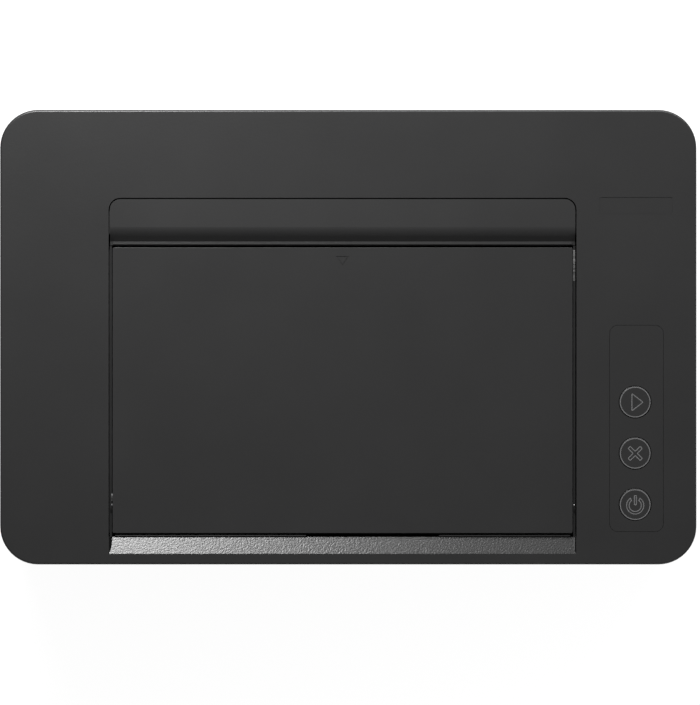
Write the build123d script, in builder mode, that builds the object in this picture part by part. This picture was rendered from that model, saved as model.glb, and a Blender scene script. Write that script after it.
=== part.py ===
"""A compact desktop laser printer, in millimetres.

X runs to the printer's right, Y to its rear and Z up. The origin is on the table, under the centre.
"""
from build123d import *
import math
import os

os.makedirs("parts", exist_ok=True)

# Outer size and walls
width = 337.0
depth = 220.0
height = 178.0
corner_radius = 18.4
wall = 2.5
edge_round = 1.0
foot_height = 3.0
foot_radius = 7.0
foot_inset_x = 28.0
foot_inset_y = 24.0

# Clearances
seam = 0.6
moving_gap = 0.3
running_fit = 0.05
press_fit = 0.02
door_gap = 0.5

# Heights of the stacked shells
pan_floor = 2.5
pan_rim = 8.5
cover_bottom = 4.0
top_depth = 28.0
deck = 2.5
seam_chamfer = 0.4

# Recess in the deck, with the output tray and its flap
recess_centre = -2.75
paper_width = 216.0
recess_clear = 5.2
recess_rear = 67.4
slope_foot = -96.7
slope_run = 8.15
slope_drop = 2.48
slope_sheet = 3.4
rail_width = 1.69
rail_bulge = 0.97
rail_bulge_drop = 0.65
recess_corner = 5.7
tray_wall = 1.0
tray_sheet = 2.0
tray_rear_drop = 32.0
tray_front_drop = 24.0
tray_rear = 48.0
tray_flange = 4.5
flange_thickness = 2.0
slot_drop = 20.0

# Exit hood with its finger scoop
hood_front = 44.55
scoop_start = 51.6
scoop_run = 5.2
scoop_fall = 4.1
scoop_round = 4.9
hood_sheet = 2.0
lip_width = 1.6
lip_rise = 1.3
lip_drop = 9.5

# Output flap
flap_rear = 43.4
flap_front = -94.8
flap_sheet = 2.2
flap_side_gap = 0.3
flap_rim = 4.0
flap_rim_wall = 1.6
flap_corner = 0.8
flap_axis_y = -81.2
flap_axis_drop = 7.0
flap_cheek = 2.5
flap_boss_radius = 3.2
trunnion_radius = 1.8
flap_ribs = 5
mark_width = 6.4
mark_height = 4.8
mark_groove = 0.5
mark_depth = 0.25
mark_edge = 4.2

# Control panel and its buttons
panel_inset = 16.1
panel_width = 25.9
panel_front = -94.0
panel_rear = 5.7
panel_corner = 3.9
panel_plate = 1.2
panel_seam = 0.15
button_inset = 29.7
button_rear = -31.4
button_pitch = 24.75
button_radius = 7.65
button_travel = 0.8
button_lip = 0.95
button_lip_height = 1.6
button_stem_radius = 2.0
switch_size = 6.2
switch_height = 3.5
switch_plunger = 1.0
board_sheet = 1.6
board_drop = 10.4
light_count = 3
light_pitch = 9.0
badge_width = 35.4
badge_length = 8.4
badge_inset = 29.2
badge_y = 63.5
badge_depth = 0.25
badge_corner = 0.8

# Doors with a rolled hinge edge
door_inset = 19.5
roll_radius = 5.5
door_cheek = 3.0
door_trunnion_radius = 2.0
ear_thickness = 3.0
ear_radius = 4.6
grip_width = 70.0
grip_depth = 1.4
front_cover_drop = 13.5
rear_door_left = -99.5
rear_door_right = 94.0
rear_door_drop = 11.5
rear_door_margin = 10.5

# Side frames and the paper's width between them
frame_sheet = 2.5
frame_clear = 0.55
frame_front = -98.5
frame_rear = 105.0
frame_drop = 36.0
frame_tower_front = 50.0
screw_radius = 1.5
screw_head_radius = 3.0
screw_head = 2.0
tab_length = 12.0
tab_width = 12.0
tab_sheet = 2.0

# Gears
module = 1.0
pressure_angle = math.radians(20)
addendum = 0.8
dedendum = 1.1
backlash = 0.15
gear_face = 6.0
gear_clear = 6.0
drum_teeth = 50
fuser_teeth = 36
registration_teeth = 42
pickup_teeth = 29
idler_teeth = 42
exit_teeth = 16
motor_teeth = 16
guide_teeth = 20

# Rollers
drum_radius = 12.0
drum_y = 50.0
drum_depth = 94.0
developer_radius = 8.0
transfer_radius = 8.0
fuser_radius = 10.0
heat_tube_wall = 1.5
lamp_radius = 3.0
registration_radius = 6.0
pinch_radius = 5.0
pickup_radius = 14.0
pickup_share = 30.0 / 49.7
pickup_length = 60.0
exit_radius = 6.0
exit_pinch_radius = 4.0
exit_y = 58.0
exit_drop = 22.0
shaft_radius = 4.0
thin_shaft_radius = 2.0
roller_inset = 7.0
nip_gap = 0.3

# Sockets and boards
inlet_from_frame = 23.0
inlet_z = 32.0
inlet_width = 27.0
inlet_height = 19.6
inlet_depth = 22.0
port_from_frame = 15.2
port_z = 81.4
port_width = 12.0
port_height = 10.8
port_depth = 16.0
foot_pin_radius = 2.5
supply_gap = 7.0
supply_inset = 8.5
supply_y = (-92.0, 62.0)
supply_z = 14.0
main_board_gap = 7.5
main_board_y = (-62.0, 80.0)
main_board_bottom = 64.0
lamp_leg_drop = 16.5
lamp_leg_rise = 9.0
fan_size = 50.0
fan_depth = 10.0
fan_y = -35.0
fan_rise = 21.0
blade_count = 7

# Toner cartridge and laser scanner
cartridge_height = 28.0
cartridge_front = -62.0
cartridge_rear = 72.0
cartridge_wall = 1.8
shelf_rise = 32.0
shelf_sheet = 1.2
scanner_front = -58.0
scanner_rear = 52.0
scanner_height = 19.0
scanner_wall = 2.0
beam_front = 40.0
beam_width = 7.0
polygon_y = -34.0

# Input bay
bed_z = 16.0
bed_sheet = 2.0
guide_y = -76.0
guide_length = 36.0
guide_travel = 50.0
guide_height = 16.0
guide_wall = 2.0
rack_height = 3.0
lift_front = -52.0
lift_rear = -6.0
lift_sheet = 1.2
ramp_drop = 27.0

# Edges and levels worked out from the sizes above
half_width = width / 2
half_depth = depth / 2
deck_bottom = height - deck
split_height = height - top_depth
tray_floor_rear = height - tray_rear_drop
tray_floor_front = height - tray_front_drop
slot_sill = height - slot_drop
lip_bottom = height - lip_drop
flap_axis_z = height - flap_axis_drop
exit_z = height - exit_drop
frame_height = height - frame_drop
pan_top = foot_height + pan_floor
recess_width = paper_width + 2 * recess_clear
panel_right = half_width - panel_inset
panel_left = panel_right - panel_width
button_x = half_width - button_inset
badge_x = half_width - badge_inset
door_half_width = half_width - door_inset
recess_left = recess_centre - recess_width / 2
recess_right = recess_centre + recess_width / 2
tray_left = recess_left + seam
tray_right = recess_right - seam
flap_left = tray_left + tray_wall + flap_side_gap
flap_right = tray_right - tray_wall - flap_side_gap
hood_rear = recess_rear - seam
frame_inner_half = recess_width / 2 + frame_clear
roller_half_length = paper_width / 2 - roller_inset
frame_left = recess_centre - frame_inner_half
frame_right = recess_centre + frame_inner_half
drum_z = height - drum_depth
developer_z = drum_z
cartridge_low = drum_z
cartridge_top = drum_z + cartridge_height
shelf_z = drum_z + shelf_rise
fan_z = drum_z + fan_rise
lamp_leg_low = drum_z - lamp_leg_drop
lamp_leg_high = drum_z + lamp_leg_rise
ramp_top = drum_z - ramp_drop
front_cover_bottom = drum_z - front_cover_drop
rear_door_bottom = drum_z - rear_door_drop
rear_door_top = split_height - rear_door_margin
supply_x = (frame_right + supply_gap, half_width - supply_inset)
main_board_x = frame_right + main_board_gap
main_board_z = (main_board_bottom, frame_height - 4.0)
inlet_x = frame_right + inlet_from_frame
port_x = frame_right + port_from_frame
board_top = height - board_drop
hinge_y = half_depth - roll_radius
front_axis_z = front_cover_bottom + roll_radius
tray_axis_z = foot_height + roll_radius
rear_axis_z = rear_door_bottom + roll_radius
front_cover_top = split_height - door_gap
tray_door_top = front_cover_bottom - door_gap
paper_path_z = drum_z - drum_radius - nip_gap / 2
gear_right = frame_left - frame_sheet - gear_clear
gear_left = gear_right - gear_face
roller_left = recess_centre - roller_half_length
roller_right = recess_centre + roller_half_length
cartridge_x = (roller_left - 2.75, roller_right + 2.75)
shaft_end = frame_right + frame_sheet + 1.0
guide_open = (recess_centre - paper_width / 2 - nip_gap, recess_centre + paper_width / 2 + nip_gap)


def block(x, y, z, mode=Mode.ADD):
    """Box between two corners, given as a (low, high) pair for each axis."""
    with Locations((x[0], y[0], z[0])):
        Box(x[1] - x[0], y[1] - y[0], z[1] - z[0], align=(Align.MIN, Align.MIN, Align.MIN), mode=mode)


def bar(radius, x, y, z, mode=Mode.ADD):
    """Round bar along X, from x[0] to x[1]."""
    with Locations(Location(((x[0] + x[1]) / 2, y, z), (0, 90, 0))):
        Cylinder(radius, x[1] - x[0], mode=mode)


def post(radius, x, y, z, mode=Mode.ADD):
    """Round post along Z, from z[0] to z[1]."""
    with Locations((x, y, z[0])):
        Cylinder(radius, z[1] - z[0], align=(Align.CENTER, Align.CENTER, Align.MIN), mode=mode)


def side_plate(points, x, mode=Mode.ADD):
    """Plate with an outline of (y, z) points, from x[0] to x[1]."""
    with BuildSketch(Plane.YZ.offset(x[0])) as outline:
        Polygon(*points, align=None)
    extrude(outline.sketch, amount=x[1] - x[0], mode=mode)


def plan_shape(inset, z):
    """Rounded plan outline of the printer, drawn in by an inset, at height z."""
    with BuildSketch(Plane.XY.offset(z)) as plan:
        RectangleRounded(width - 2 * inset, depth - 2 * inset, corner_radius - inset)
    return plan.sketch


def button_rows():
    """The buttons' centres in Y, from the rear one to the front one."""
    return [button_rear - button_pitch * index for index in range(3)]


def board_bosses():
    """Places of the four bosses that carry the control board."""
    inset = 3.0
    rows = (panel_front + inset, panel_rear - inset)
    return [(x, y) for x in (panel_left + inset, panel_right - inset) for y in rows]


# Top cover: deck, skirt, front slope, panel pocket and bare badge recess
def make_top_cover():
    slope_top = slope_foot - slope_run
    slope_z = height - slope_drop
    pocket_width = panel_right - panel_left + 2 * panel_seam
    pocket_length = panel_rear - panel_front + 2 * panel_seam
    tongue_inset = wall + 0.1
    tongue_wall = 1.5
    tongue_drop = 4.0
    tongue_start = door_half_width + door_gap + 1.0
    with BuildPart() as top_cover:
        extrude(plan_shape(0, split_height), amount=height - split_height)
        fillet(top_cover.edges().group_by(Axis.Z)[-1], edge_round)
        chamfer(top_cover.edges().group_by(Axis.Z)[0], seam_chamfer)
        extrude(plan_shape(wall, split_height), amount=deck_bottom - split_height, mode=Mode.SUBTRACT)
        with BuildSketch(Plane.XY.offset(deck_bottom)) as opening:
            with Locations((recess_centre, (recess_rear + slope_top) / 2)):
                Rectangle(recess_width, recess_rear - slope_top)
            fillet(opening.vertices().group_by(Axis.Y)[-1], recess_corner)
        extrude(amount=deck, mode=Mode.SUBTRACT)
        side_plate(
            [
                (slope_top, height),
                (slope_foot, slope_z),
                (slope_foot, slope_z - slope_sheet),
                (slope_top, height - slope_sheet),
            ],
            (recess_left, recess_right),
        )
        with BuildSketch(Plane.XZ.offset(-slope_top)) as rails:
            for edge, inward in ((recess_left, 1), (recess_right, -1)):
                foot = (edge + inward * rail_width, slope_z)
                middle = (edge + inward * rail_bulge, height - rail_bulge_drop)
                outside = edge - inward * rail_width
                with BuildLine():
                    ThreePointArc((edge, height), middle, foot)
                    Polyline(foot, (outside, slope_z), (outside, height), (edge, height))
                make_face()
        extrude(amount=-slope_run)
        with BuildSketch(Plane.XY.offset(height)) as pocket:
            with Locations(((panel_left + panel_right) / 2, (panel_front + panel_rear) / 2)):
                RectangleRounded(pocket_width, pocket_length, panel_corner + panel_seam)
        extrude(amount=-panel_plate, mode=Mode.SUBTRACT)
        for y in button_rows():
            hole = button_radius + moving_gap
            post(hole, button_x, y, (deck_bottom, height), mode=Mode.SUBTRACT)
        with BuildSketch(Plane.XY.offset(height)) as badge:
            with Locations((badge_x, badge_y)):
                RectangleRounded(badge_width, badge_length, badge_corner)
        extrude(amount=-badge_depth, mode=Mode.SUBTRACT)
        for x, y in board_bosses():
            post(2.5, x, y, (board_top, deck_bottom))
        for inset, low, tall in (
            (tongue_inset, split_height - tongue_drop, tongue_drop),
            (wall, split_height, tongue_drop / 2),
        ):
            with BuildSketch(Plane.XY.offset(low)):
                add(plan_shape(inset, 0))
                add(plan_shape(tongue_inset + tongue_wall, 0), mode=Mode.SUBTRACT)
                Rectangle(2 * tongue_start, depth, mode=Mode.SUBTRACT)
            extrude(amount=tall)
    return top_cover.part


# Exit hood: the strip behind the flap, sloped down into the finger scoop
def make_exit_hood():
    scoop_y = scoop_start - scoop_run
    scoop_z = height - scoop_fall
    under = height - hood_sheet
    inner_y = hood_front + hood_sheet
    side_wall = 2.0
    flange_low = deck_bottom - flange_thickness
    with BuildPart() as exit_hood:
        side_plate(
            [
                (hood_rear, height),
                (scoop_start, height),
                (scoop_y, scoop_z),
                (hood_front, scoop_z),
                (hood_front, lip_bottom),
                (inner_y, lip_bottom),
                (inner_y, under - (scoop_start - inner_y) * scoop_fall / scoop_run),
                (scoop_start, under),
                (hood_rear, under),
            ],
            (tray_left, tray_right),
        )
        side_plate(
            [
                (hood_front, scoop_z - 1.0),
                (scoop_y, scoop_z - 1.0),
                (scoop_y, scoop_z),
                (hood_front + 0.5, scoop_z + lip_rise),
                (hood_front, scoop_z + lip_rise - 0.4),
            ],
            (tray_left + lip_width, tray_right - lip_width),
        )
        for x in ((tray_left, tray_left + side_wall), (tray_right - side_wall, tray_right)):
            block(x, (frame_tower_front, hood_rear), (flange_low, height - hood_sheet))
        block((tray_left, tray_right), (hood_rear - side_wall, hood_rear), (flange_low, height - 1.0))
        corners = exit_hood.edges().filter_by(Axis.Z).group_by(Axis.Y)[-1]
        fillet(corners, recess_corner - seam)
        crease = exit_hood.edges().filter_by(Axis.X).group_by(Axis.Z)[-1].sort_by(Axis.Y)[0]
        fillet(crease, scoop_round)
        left_flange = (frame_left - frame_sheet, tray_left + 0.5)
        right_flange = (tray_right - 0.5, frame_right + frame_sheet)
        for x in (left_flange, right_flange):
            block(x, (frame_tower_front, hood_rear - recess_corner), (flange_low, deck_bottom))
    return exit_hood.part


# Output tray: the well that catches the sheets under the flap
def make_output_tray():
    rear_edge = hood_front - 0.4
    wall_top = height - 0.4
    flange_low = deck_bottom - flange_thickness
    slope_under = height - slope_drop - slope_sheet - moving_gap
    with BuildPart() as output_tray:
        side_plate(
            [
                (slope_foot - tray_sheet, tray_floor_front),
                (tray_rear, tray_floor_rear),
                (tray_rear, tray_floor_rear - tray_sheet),
                (slope_foot - tray_sheet, tray_floor_front - tray_sheet),
            ],
            (tray_left, tray_right),
        )
        for x in ((tray_left, tray_left + tray_wall), (tray_right - tray_wall, tray_right)):
            side_plate(
                [
                    (slope_foot + 0.1, tray_floor_front - tray_sheet),
                    (slope_foot + 0.1, wall_top),
                    (rear_edge, wall_top),
                    (rear_edge, lip_bottom - 0.4),
                    (tray_rear, lip_bottom - 0.4),
                    (tray_rear, tray_floor_rear - tray_sheet),
                ],
                x,
            )
        block((tray_left, tray_right), (slope_foot - tray_sheet, slope_foot),
              (tray_floor_front - tray_sheet, slope_under))
        block((tray_left, tray_right), (tray_rear - tray_sheet, tray_rear),
              (tray_floor_rear - tray_sheet, slot_sill))
        for x in ((tray_left - tray_flange, tray_left + 0.5), (tray_right - 0.5, tray_right + tray_flange)):
            block(x, (slope_foot + 2.0, rear_edge - 2.0), (flange_low, deck_bottom))
        bar(trunnion_radius + running_fit, (tray_left - 1.0, tray_right + 1.0),
            flap_axis_y, flap_axis_z, mode=Mode.SUBTRACT)
    return output_tray.part


# Output flap: lifts by its rear edge and leans on the front rim to hold long sheets
def make_output_flap():
    under = height - flap_sheet
    mark_x = (flap_left + flap_right) / 2
    mark_rear = flap_rear - mark_edge
    length = flap_rear - flap_front
    rib_pitch = (flap_right - flap_left) / (flap_ribs + 1)
    with BuildPart() as output_flap:
        with BuildSketch(Plane.XY.offset(under)) as panel:
            with Locations((mark_x, (flap_front + flap_rear) / 2)):
                RectangleRounded(flap_right - flap_left, length, flap_corner)
        extrude(amount=flap_sheet)
        fillet(output_flap.edges().group_by(Axis.Z)[-1], 0.15)
        with BuildSketch(Plane.XY.offset(height - flap_rim)) as rim:
            with Locations((mark_x, (flap_front + flap_rear) / 2)):
                RectangleRounded(flap_right - flap_left, length, flap_corner)
                Rectangle(flap_right - flap_left - 2 * flap_rim_wall, length - 2 * flap_rim_wall,
                          mode=Mode.SUBTRACT)
        extrude(amount=flap_rim - flap_sheet)
        for index in range(flap_ribs):
            x = flap_left + rib_pitch * (index + 1)
            block((x - 0.6, x + 0.6), (flap_front + 1.0, flap_rear - 1.0), (height - flap_rim, under))
        for x in ((flap_left, flap_left + flap_cheek), (flap_right - flap_cheek, flap_right)):
            bar(flap_boss_radius, x, flap_axis_y, flap_axis_z)
            block(x, (flap_axis_y - flap_boss_radius, flap_axis_y + flap_boss_radius), (flap_axis_z, under))
        for x in ((tray_left - 0.4, flap_left), (flap_right, tray_right + 0.4)):
            bar(trunnion_radius, x, flap_axis_y, flap_axis_z)
        with BuildSketch(Plane.XY.offset(height)) as mark:
            half = mark_width / 2
            Polygon((mark_x - half, mark_rear), (mark_x, mark_rear - mark_height),
                    (mark_x + half, mark_rear), align=None)
            offset(amount=-mark_groove, mode=Mode.SUBTRACT)
        extrude(amount=-mark_depth, mode=Mode.SUBTRACT)
    return output_flap.part



# Side covers: a side wall with both rounded corners, and ears for the front doors
def make_side_cover(side):
    edge = door_half_width + door_gap
    inner_face = half_depth - wall
    ear_x = sorted((side * edge, side * (edge + ear_thickness)))
    vent_rows = 8
    vent_pitch = 6.0
    vent_height = 2.4
    vent_y = (-57.0, -13.0) if side > 0 else (20.0, 64.0)
    vent_low = drum_z
    with BuildPart() as side_cover:
        extrude(plan_shape(0, cover_bottom), amount=split_height - cover_bottom)
        chamfer(side_cover.edges().group_by(Axis.Z)[-1], seam_chamfer)
        extrude(plan_shape(wall, cover_bottom), amount=split_height - cover_bottom, mode=Mode.SUBTRACT)
        kept = sorted((side * edge, -side * half_width))
        block(kept, (-half_depth, half_depth), (cover_bottom, split_height), mode=Mode.SUBTRACT)
        for z in (front_axis_z, tray_axis_z):
            bar(ear_radius, ear_x, -hinge_y, z)
            block(ear_x, (-inner_face - 0.5, -hinge_y), (z - ear_radius, z + ear_radius))
            bar(door_trunnion_radius + running_fit, ear_x, -hinge_y, z, mode=Mode.SUBTRACT)
        outside = sorted((side * (half_width - wall - 0.5), side * (half_width + 0.5)))
        for row in range(vent_rows):
            low = vent_low + vent_pitch * row
            block(outside, vent_y, (low, low + vent_height), mode=Mode.SUBTRACT)
    return side_cover.part


def rolled_door(x, axis_z, top, facing, rib_places):
    """Door wall whose lower edge is rolled round its hinge; facing is -1 at the front, 1 at the rear."""
    rib_depth = 2.5
    rib_half = 0.75
    rib_foot = axis_z + roll_radius + 2.0
    axis_y = facing * hinge_y
    outer = facing * half_depth
    inner = facing * (half_depth - wall)
    middle = (x[0] + x[1]) / 2
    scoop = 8.0
    trunnion = door_gap + ear_thickness
    back = sorted((axis_y, axis_y - facing * roll_radius))
    with BuildPart() as door:
        bar(roll_radius, x, axis_y, axis_z)
        bar(roll_radius - wall, x, axis_y, axis_z, mode=Mode.SUBTRACT)
        block(x, (axis_y - roll_radius, axis_y + roll_radius), (axis_z, axis_z + roll_radius),
              mode=Mode.SUBTRACT)
        block(x, back, (axis_z - roll_radius, axis_z), mode=Mode.SUBTRACT)
        block(x, sorted((outer, inner)), (axis_z, top))
        for end in ((x[0], x[0] + door_cheek), (x[1] - door_cheek, x[1])):
            bar(roll_radius, end, axis_y, axis_z)
        bar(door_trunnion_radius, (x[0] - trunnion, x[0] + 1.0), axis_y, axis_z)
        bar(door_trunnion_radius, (x[1] - 1.0, x[1] + trunnion), axis_y, axis_z)
        bar(scoop, (middle - grip_width / 2, middle + grip_width / 2),
            outer + facing * (scoop - grip_depth), top - 4.0, mode=Mode.SUBTRACT)
        for place in rib_places:
            block((place - rib_half, place + rib_half), sorted((inner, inner - facing * rib_depth)),
                  (rib_foot, top - 6.0))
    return door.part


# Front cover: opens forward to reach the toner cartridge
def make_front_cover():
    ribs = [door_half_width * share for share in (-0.75, -0.375, 0, 0.375, 0.75)]
    return rolled_door((-door_half_width, door_half_width), front_axis_z, front_cover_top, -1, ribs)


# Input tray door: folds down to take the sheets
def make_input_tray_door():
    ribs = [door_half_width * share for share in (-0.6, -0.2, 0.2, 0.6)]
    return rolled_door((-door_half_width, door_half_width), tray_axis_z, tray_door_top, -1, ribs)


# Rear panel: fixed back wall with the rear door's opening, sockets and vents
def make_rear_panel():
    edge = door_half_width + door_gap
    face = (half_depth - wall, half_depth)
    vent_columns = 10
    vent_left = -92.0
    vent_pitch = 8.0
    vent_width = 2.4
    vent_z = (26.0, rear_door_bottom - 16.5)
    with BuildPart() as rear_panel:
        block((-edge, edge), face, (cover_bottom, split_height))
        block((rear_door_left - door_gap, rear_door_right + door_gap), face,
              (rear_door_bottom - door_gap, rear_door_top + door_gap), mode=Mode.SUBTRACT)
        left_ear = (rear_door_left - door_gap - ear_thickness, rear_door_left - door_gap)
        right_ear = (rear_door_right + door_gap, rear_door_right + door_gap + ear_thickness)
        for x in (left_ear, right_ear):
            bar(ear_radius, x, hinge_y, rear_axis_z)
            block(x, (hinge_y, half_depth - wall + 0.5),
                  (rear_axis_z - ear_radius, rear_axis_z + ear_radius))
            bar(door_trunnion_radius + running_fit, x, hinge_y, rear_axis_z, mode=Mode.SUBTRACT)
        block((inlet_x - inlet_width / 2 - moving_gap, inlet_x + inlet_width / 2 + moving_gap), face,
              (inlet_z - inlet_height / 2 - moving_gap, inlet_z + inlet_height / 2 + moving_gap),
              mode=Mode.SUBTRACT)
        block((port_x - port_width / 2 - moving_gap, port_x + port_width / 2 + moving_gap), face,
              (port_z - port_height / 2 - moving_gap, port_z + port_height / 2 + moving_gap),
              mode=Mode.SUBTRACT)
        for column in range(vent_columns):
            x = vent_left + column * vent_pitch
            block((x, x + vent_width), face, vent_z, mode=Mode.SUBTRACT)
    return rear_panel.part


# Rear door: opens backward to clear a jam behind the fuser
def make_rear_door():
    ribs = [rear_door_left + (rear_door_right - rear_door_left) * share for share in (0.2, 0.4, 0.6, 0.8)]
    return rolled_door((rear_door_left, rear_door_right), rear_axis_z, rear_door_top, 1, ribs)


# Base pan: floor tray that carries the frames, the boards and the feet
def make_base_pan():
    inset = wall
    pan_wall = 2.0
    pan_corner = corner_radius - inset + 1.5
    pan_front = -hinge_y + roll_radius + 1.0
    notch = door_half_width + door_gap + ear_thickness + door_gap
    vent_rows = 7
    vent_front = -60.0
    vent_pitch = 9.0
    vent_width = 2.4
    vent_x = (18.5 - half_width, 36.5 - half_width)
    with BuildPart() as base_pan:
        with BuildSketch(Plane.XY.offset(foot_height)) as plan:
            RectangleRounded(width - 2 * inset, depth - 2 * inset, pan_corner)
        extrude(amount=pan_floor + pan_rim)
        with BuildSketch(Plane.XY.offset(pan_top)) as hollow:
            RectangleRounded(width - 2 * inset - 2 * pan_wall, depth - 2 * inset - 2 * pan_wall,
                             pan_corner - pan_wall)
        extrude(amount=pan_rim, mode=Mode.SUBTRACT)
        block((-notch, notch), (-half_depth, pan_front), (foot_height, pan_top + pan_rim),
              mode=Mode.SUBTRACT)
        for x, y in foot_places():
            post(foot_pin_radius, x, y, (foot_height, pan_top), mode=Mode.SUBTRACT)
        for x, y in frame_screw_places():
            post(screw_radius + press_fit, x, y, (foot_height, pan_top), mode=Mode.SUBTRACT)
        for x, y in supply_posts():
            post(3.0, x, y, (pan_top, supply_z))
        for row in range(vent_rows):
            y = vent_front + row * vent_pitch
            block(vent_x, (y, y + vent_width), (foot_height, pan_top), mode=Mode.SUBTRACT)
    return base_pan.part


def foot_places():
    """Centres of the four feet."""
    x = half_width - foot_inset_x
    y = half_depth - foot_inset_y
    return [(-x, -y), (x, -y), (-x, y), (x, y)]


def frame_screw_places():
    """Centres of the screws through the frames' tabs."""
    reach = frame_sheet + tab_length / 2
    rows = (frame_front + 20.0, frame_rear - 25.0)
    return [(x, y) for x in (frame_left - reach, frame_right + reach) for y in rows]


def supply_posts():
    """Centres of the posts that carry the power supply board."""
    inset = 4.0
    xs = (supply_x[0] + inset, supply_x[1] - inset)
    ys = (supply_y[0] + inset, supply_y[1] - inset)
    return [(x, y) for x in xs for y in ys]


# Rubber feet: four pads pressed into the base pan
def make_rubber_feet():
    with BuildPart() as rubber_feet:
        for x, y in foot_places():
            post(foot_radius, x, y, (0, foot_height))
            post(foot_pin_radius - press_fit, x, y, (foot_height, pan_top))
    return rubber_feet.part


# Control panel plate, set flush in its pocket
def make_control_panel():
    low = height - panel_plate
    with BuildPart() as control_panel:
        with BuildSketch(Plane.XY.offset(low)) as outline:
            with Locations(((panel_left + panel_right) / 2, (panel_front + panel_rear) / 2)):
                RectangleRounded(panel_right - panel_left, panel_rear - panel_front, panel_corner)
        extrude(amount=panel_plate)
        for y in button_rows():
            post(button_radius + moving_gap, button_x, y, (low, height), mode=Mode.SUBTRACT)
    return control_panel.part


# Push buttons: a cap held from below by its lip, with a stem over the switch
def make_button(y):
    lip_top = deck_bottom - moving_gap
    lip_low = lip_top - button_lip_height
    stem_low = board_top + switch_height + switch_plunger + button_travel + running_fit
    with BuildPart() as button:
        post(button_radius, button_x, y, (lip_low, height))
        fillet(button.edges().group_by(Axis.Z)[-1], 0.25)
        post(button_radius + button_lip, button_x, y, (lip_low, lip_top))
        post(button_stem_radius, button_x, y, (stem_low, lip_low))
    return button.part


# Control board under the panel, with its lights and a tact switch under each button
def make_control_board():
    margin = 2.0
    half = switch_size / 2
    plunger_low = board_top + switch_height
    light_radius = 1.5
    light_height = 3.0
    first_light = 10.0
    with BuildPart() as control_board:
        block((panel_left - margin, panel_right + margin), (panel_front - margin, panel_rear + margin),
              (board_top - board_sheet, board_top))
        for index in range(light_count):
            x = button_x
            y = panel_rear - first_light - light_pitch * index
            post(light_radius, x, y, (board_top, board_top + light_height))
        for y in button_rows():
            block((button_x - half, button_x + half), (y - half, y + half), (board_top, plunger_low))
            post(button_stem_radius - 0.3, button_x, y, (plunger_low, plunger_low + switch_plunger))
    return control_board.part


def gear_radius(teeth):
    """Pitch radius of a gear."""
    return module * teeth / 2


def gear_distance(first, second):
    """Distance between the axes of two meshed gears."""
    return gear_radius(first) + gear_radius(second)


def involute(angle):
    """Involute function of a pressure angle."""
    return math.tan(angle) - angle


def gear_sketch(teeth, phase, centre, plane):
    """Outline of a spur gear with one tooth centred on the angle phase, on a plane, about a centre."""
    pitch = gear_radius(teeth)
    base = pitch * math.cos(pressure_angle)
    tip = pitch + addendum * module
    root = pitch - dedendum * module
    half_tooth = (math.pi * module / 2 - backlash) / (2 * pitch) + involute(pressure_angle)
    start = max(base, root) + 0.01
    radii = (start, (start + tip) / 2, tip)
    halves = [half_tooth - involute(math.acos(base / radius)) for radius in radii]

    def place(radius, angle):
        return (centre[0] + radius * math.cos(angle), centre[1] + radius * math.sin(angle))

    with BuildSketch(plane) as gear:
        with BuildLine():
            for tooth in range(teeth):
                middle = phase + 2 * math.pi * tooth / teeth
                following = middle + 2 * math.pi / teeth
                rise = [place(radius, middle - half) for radius, half in zip(radii, halves)]
                fall = [place(radius, middle + half) for radius, half in zip(radii, halves)]
                foot = place(root, middle - halves[0])
                heel = place(root, middle + halves[0])
                Line(foot, rise[0])
                ThreePointArc(*rise)
                Line(rise[2], fall[2])
                ThreePointArc(*reversed(fall))
                Line(fall[0], heel)
                Line(heel, place(root, following - halves[0]))
        make_face()
    return gear.sketch


def meshed_phase(teeth, phase, direction, next_teeth):
    """Phase of a gear that meshes with one of the given phase, lying in the given direction from it."""
    share = (direction - phase) * teeth / (2 * math.pi)
    return direction + math.pi - (0.5 - share) * 2 * math.pi / next_teeth


def direction_to(start, end):
    """Angle of the line from one (y, z) point to another."""
    return math.atan2(end[1] - start[1], end[0] - start[0])


def drive_train():
    """Centre, teeth and phase of every gear in the train, found from the drum gear outwards."""
    drum = (drum_y, drum_z)
    fuser_z = paper_path_z - nip_gap / 2 - fuser_radius
    reach = gear_distance(drum_teeth, fuser_teeth)
    fuser = (drum_y + math.sqrt(reach**2 - (drum_z - fuser_z) ** 2), fuser_z)
    feed_z = paper_path_z - nip_gap / 2 - registration_radius
    reach = gear_distance(drum_teeth, registration_teeth)
    feed = (drum_y - math.sqrt(reach**2 - (drum_z - feed_z) ** 2), feed_z)
    reach = gear_distance(registration_teeth, pickup_teeth)
    pickup_z = bed_z + pickup_share * (feed_z - bed_z)
    pickup = (feed[0] - math.sqrt(reach**2 - (feed_z - pickup_z) ** 2), pickup_z)
    reach = gear_distance(drum_teeth, motor_teeth)
    slant = math.radians(135)
    motor = (drum_y + reach * math.cos(slant), drum_z + reach * math.sin(slant))
    exit_place = (exit_y, exit_z)
    near = gear_distance(drum_teeth, idler_teeth)
    far = gear_distance(idler_teeth, exit_teeth)
    span = math.dist(drum, exit_place)
    along = (near**2 - far**2 + span**2) / (2 * span)
    aside = math.sqrt(near**2 - along**2)
    unit = ((exit_place[0] - drum[0]) / span, (exit_place[1] - drum[1]) / span)
    idler = (drum[0] + along * unit[0] + aside * unit[1], drum[1] + along * unit[1] - aside * unit[0])
    train = {"drum": (drum, drum_teeth, 0.0)}
    links = (
        ("fuser", "drum", fuser, fuser_teeth),
        ("registration", "drum", feed, registration_teeth),
        ("pickup", "registration", pickup, pickup_teeth),
        ("motor", "drum", motor, motor_teeth),
        ("idler", "drum", idler, idler_teeth),
        ("exit", "idler", exit_place, exit_teeth),
    )
    for name, driver, centre, teeth in links:
        from_centre, from_teeth, from_phase = train[driver]
        phase = meshed_phase(from_teeth, from_phase, direction_to(from_centre, centre), teeth)
        train[name] = (centre, teeth, phase)
    return train


TRAIN = drive_train()


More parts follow.
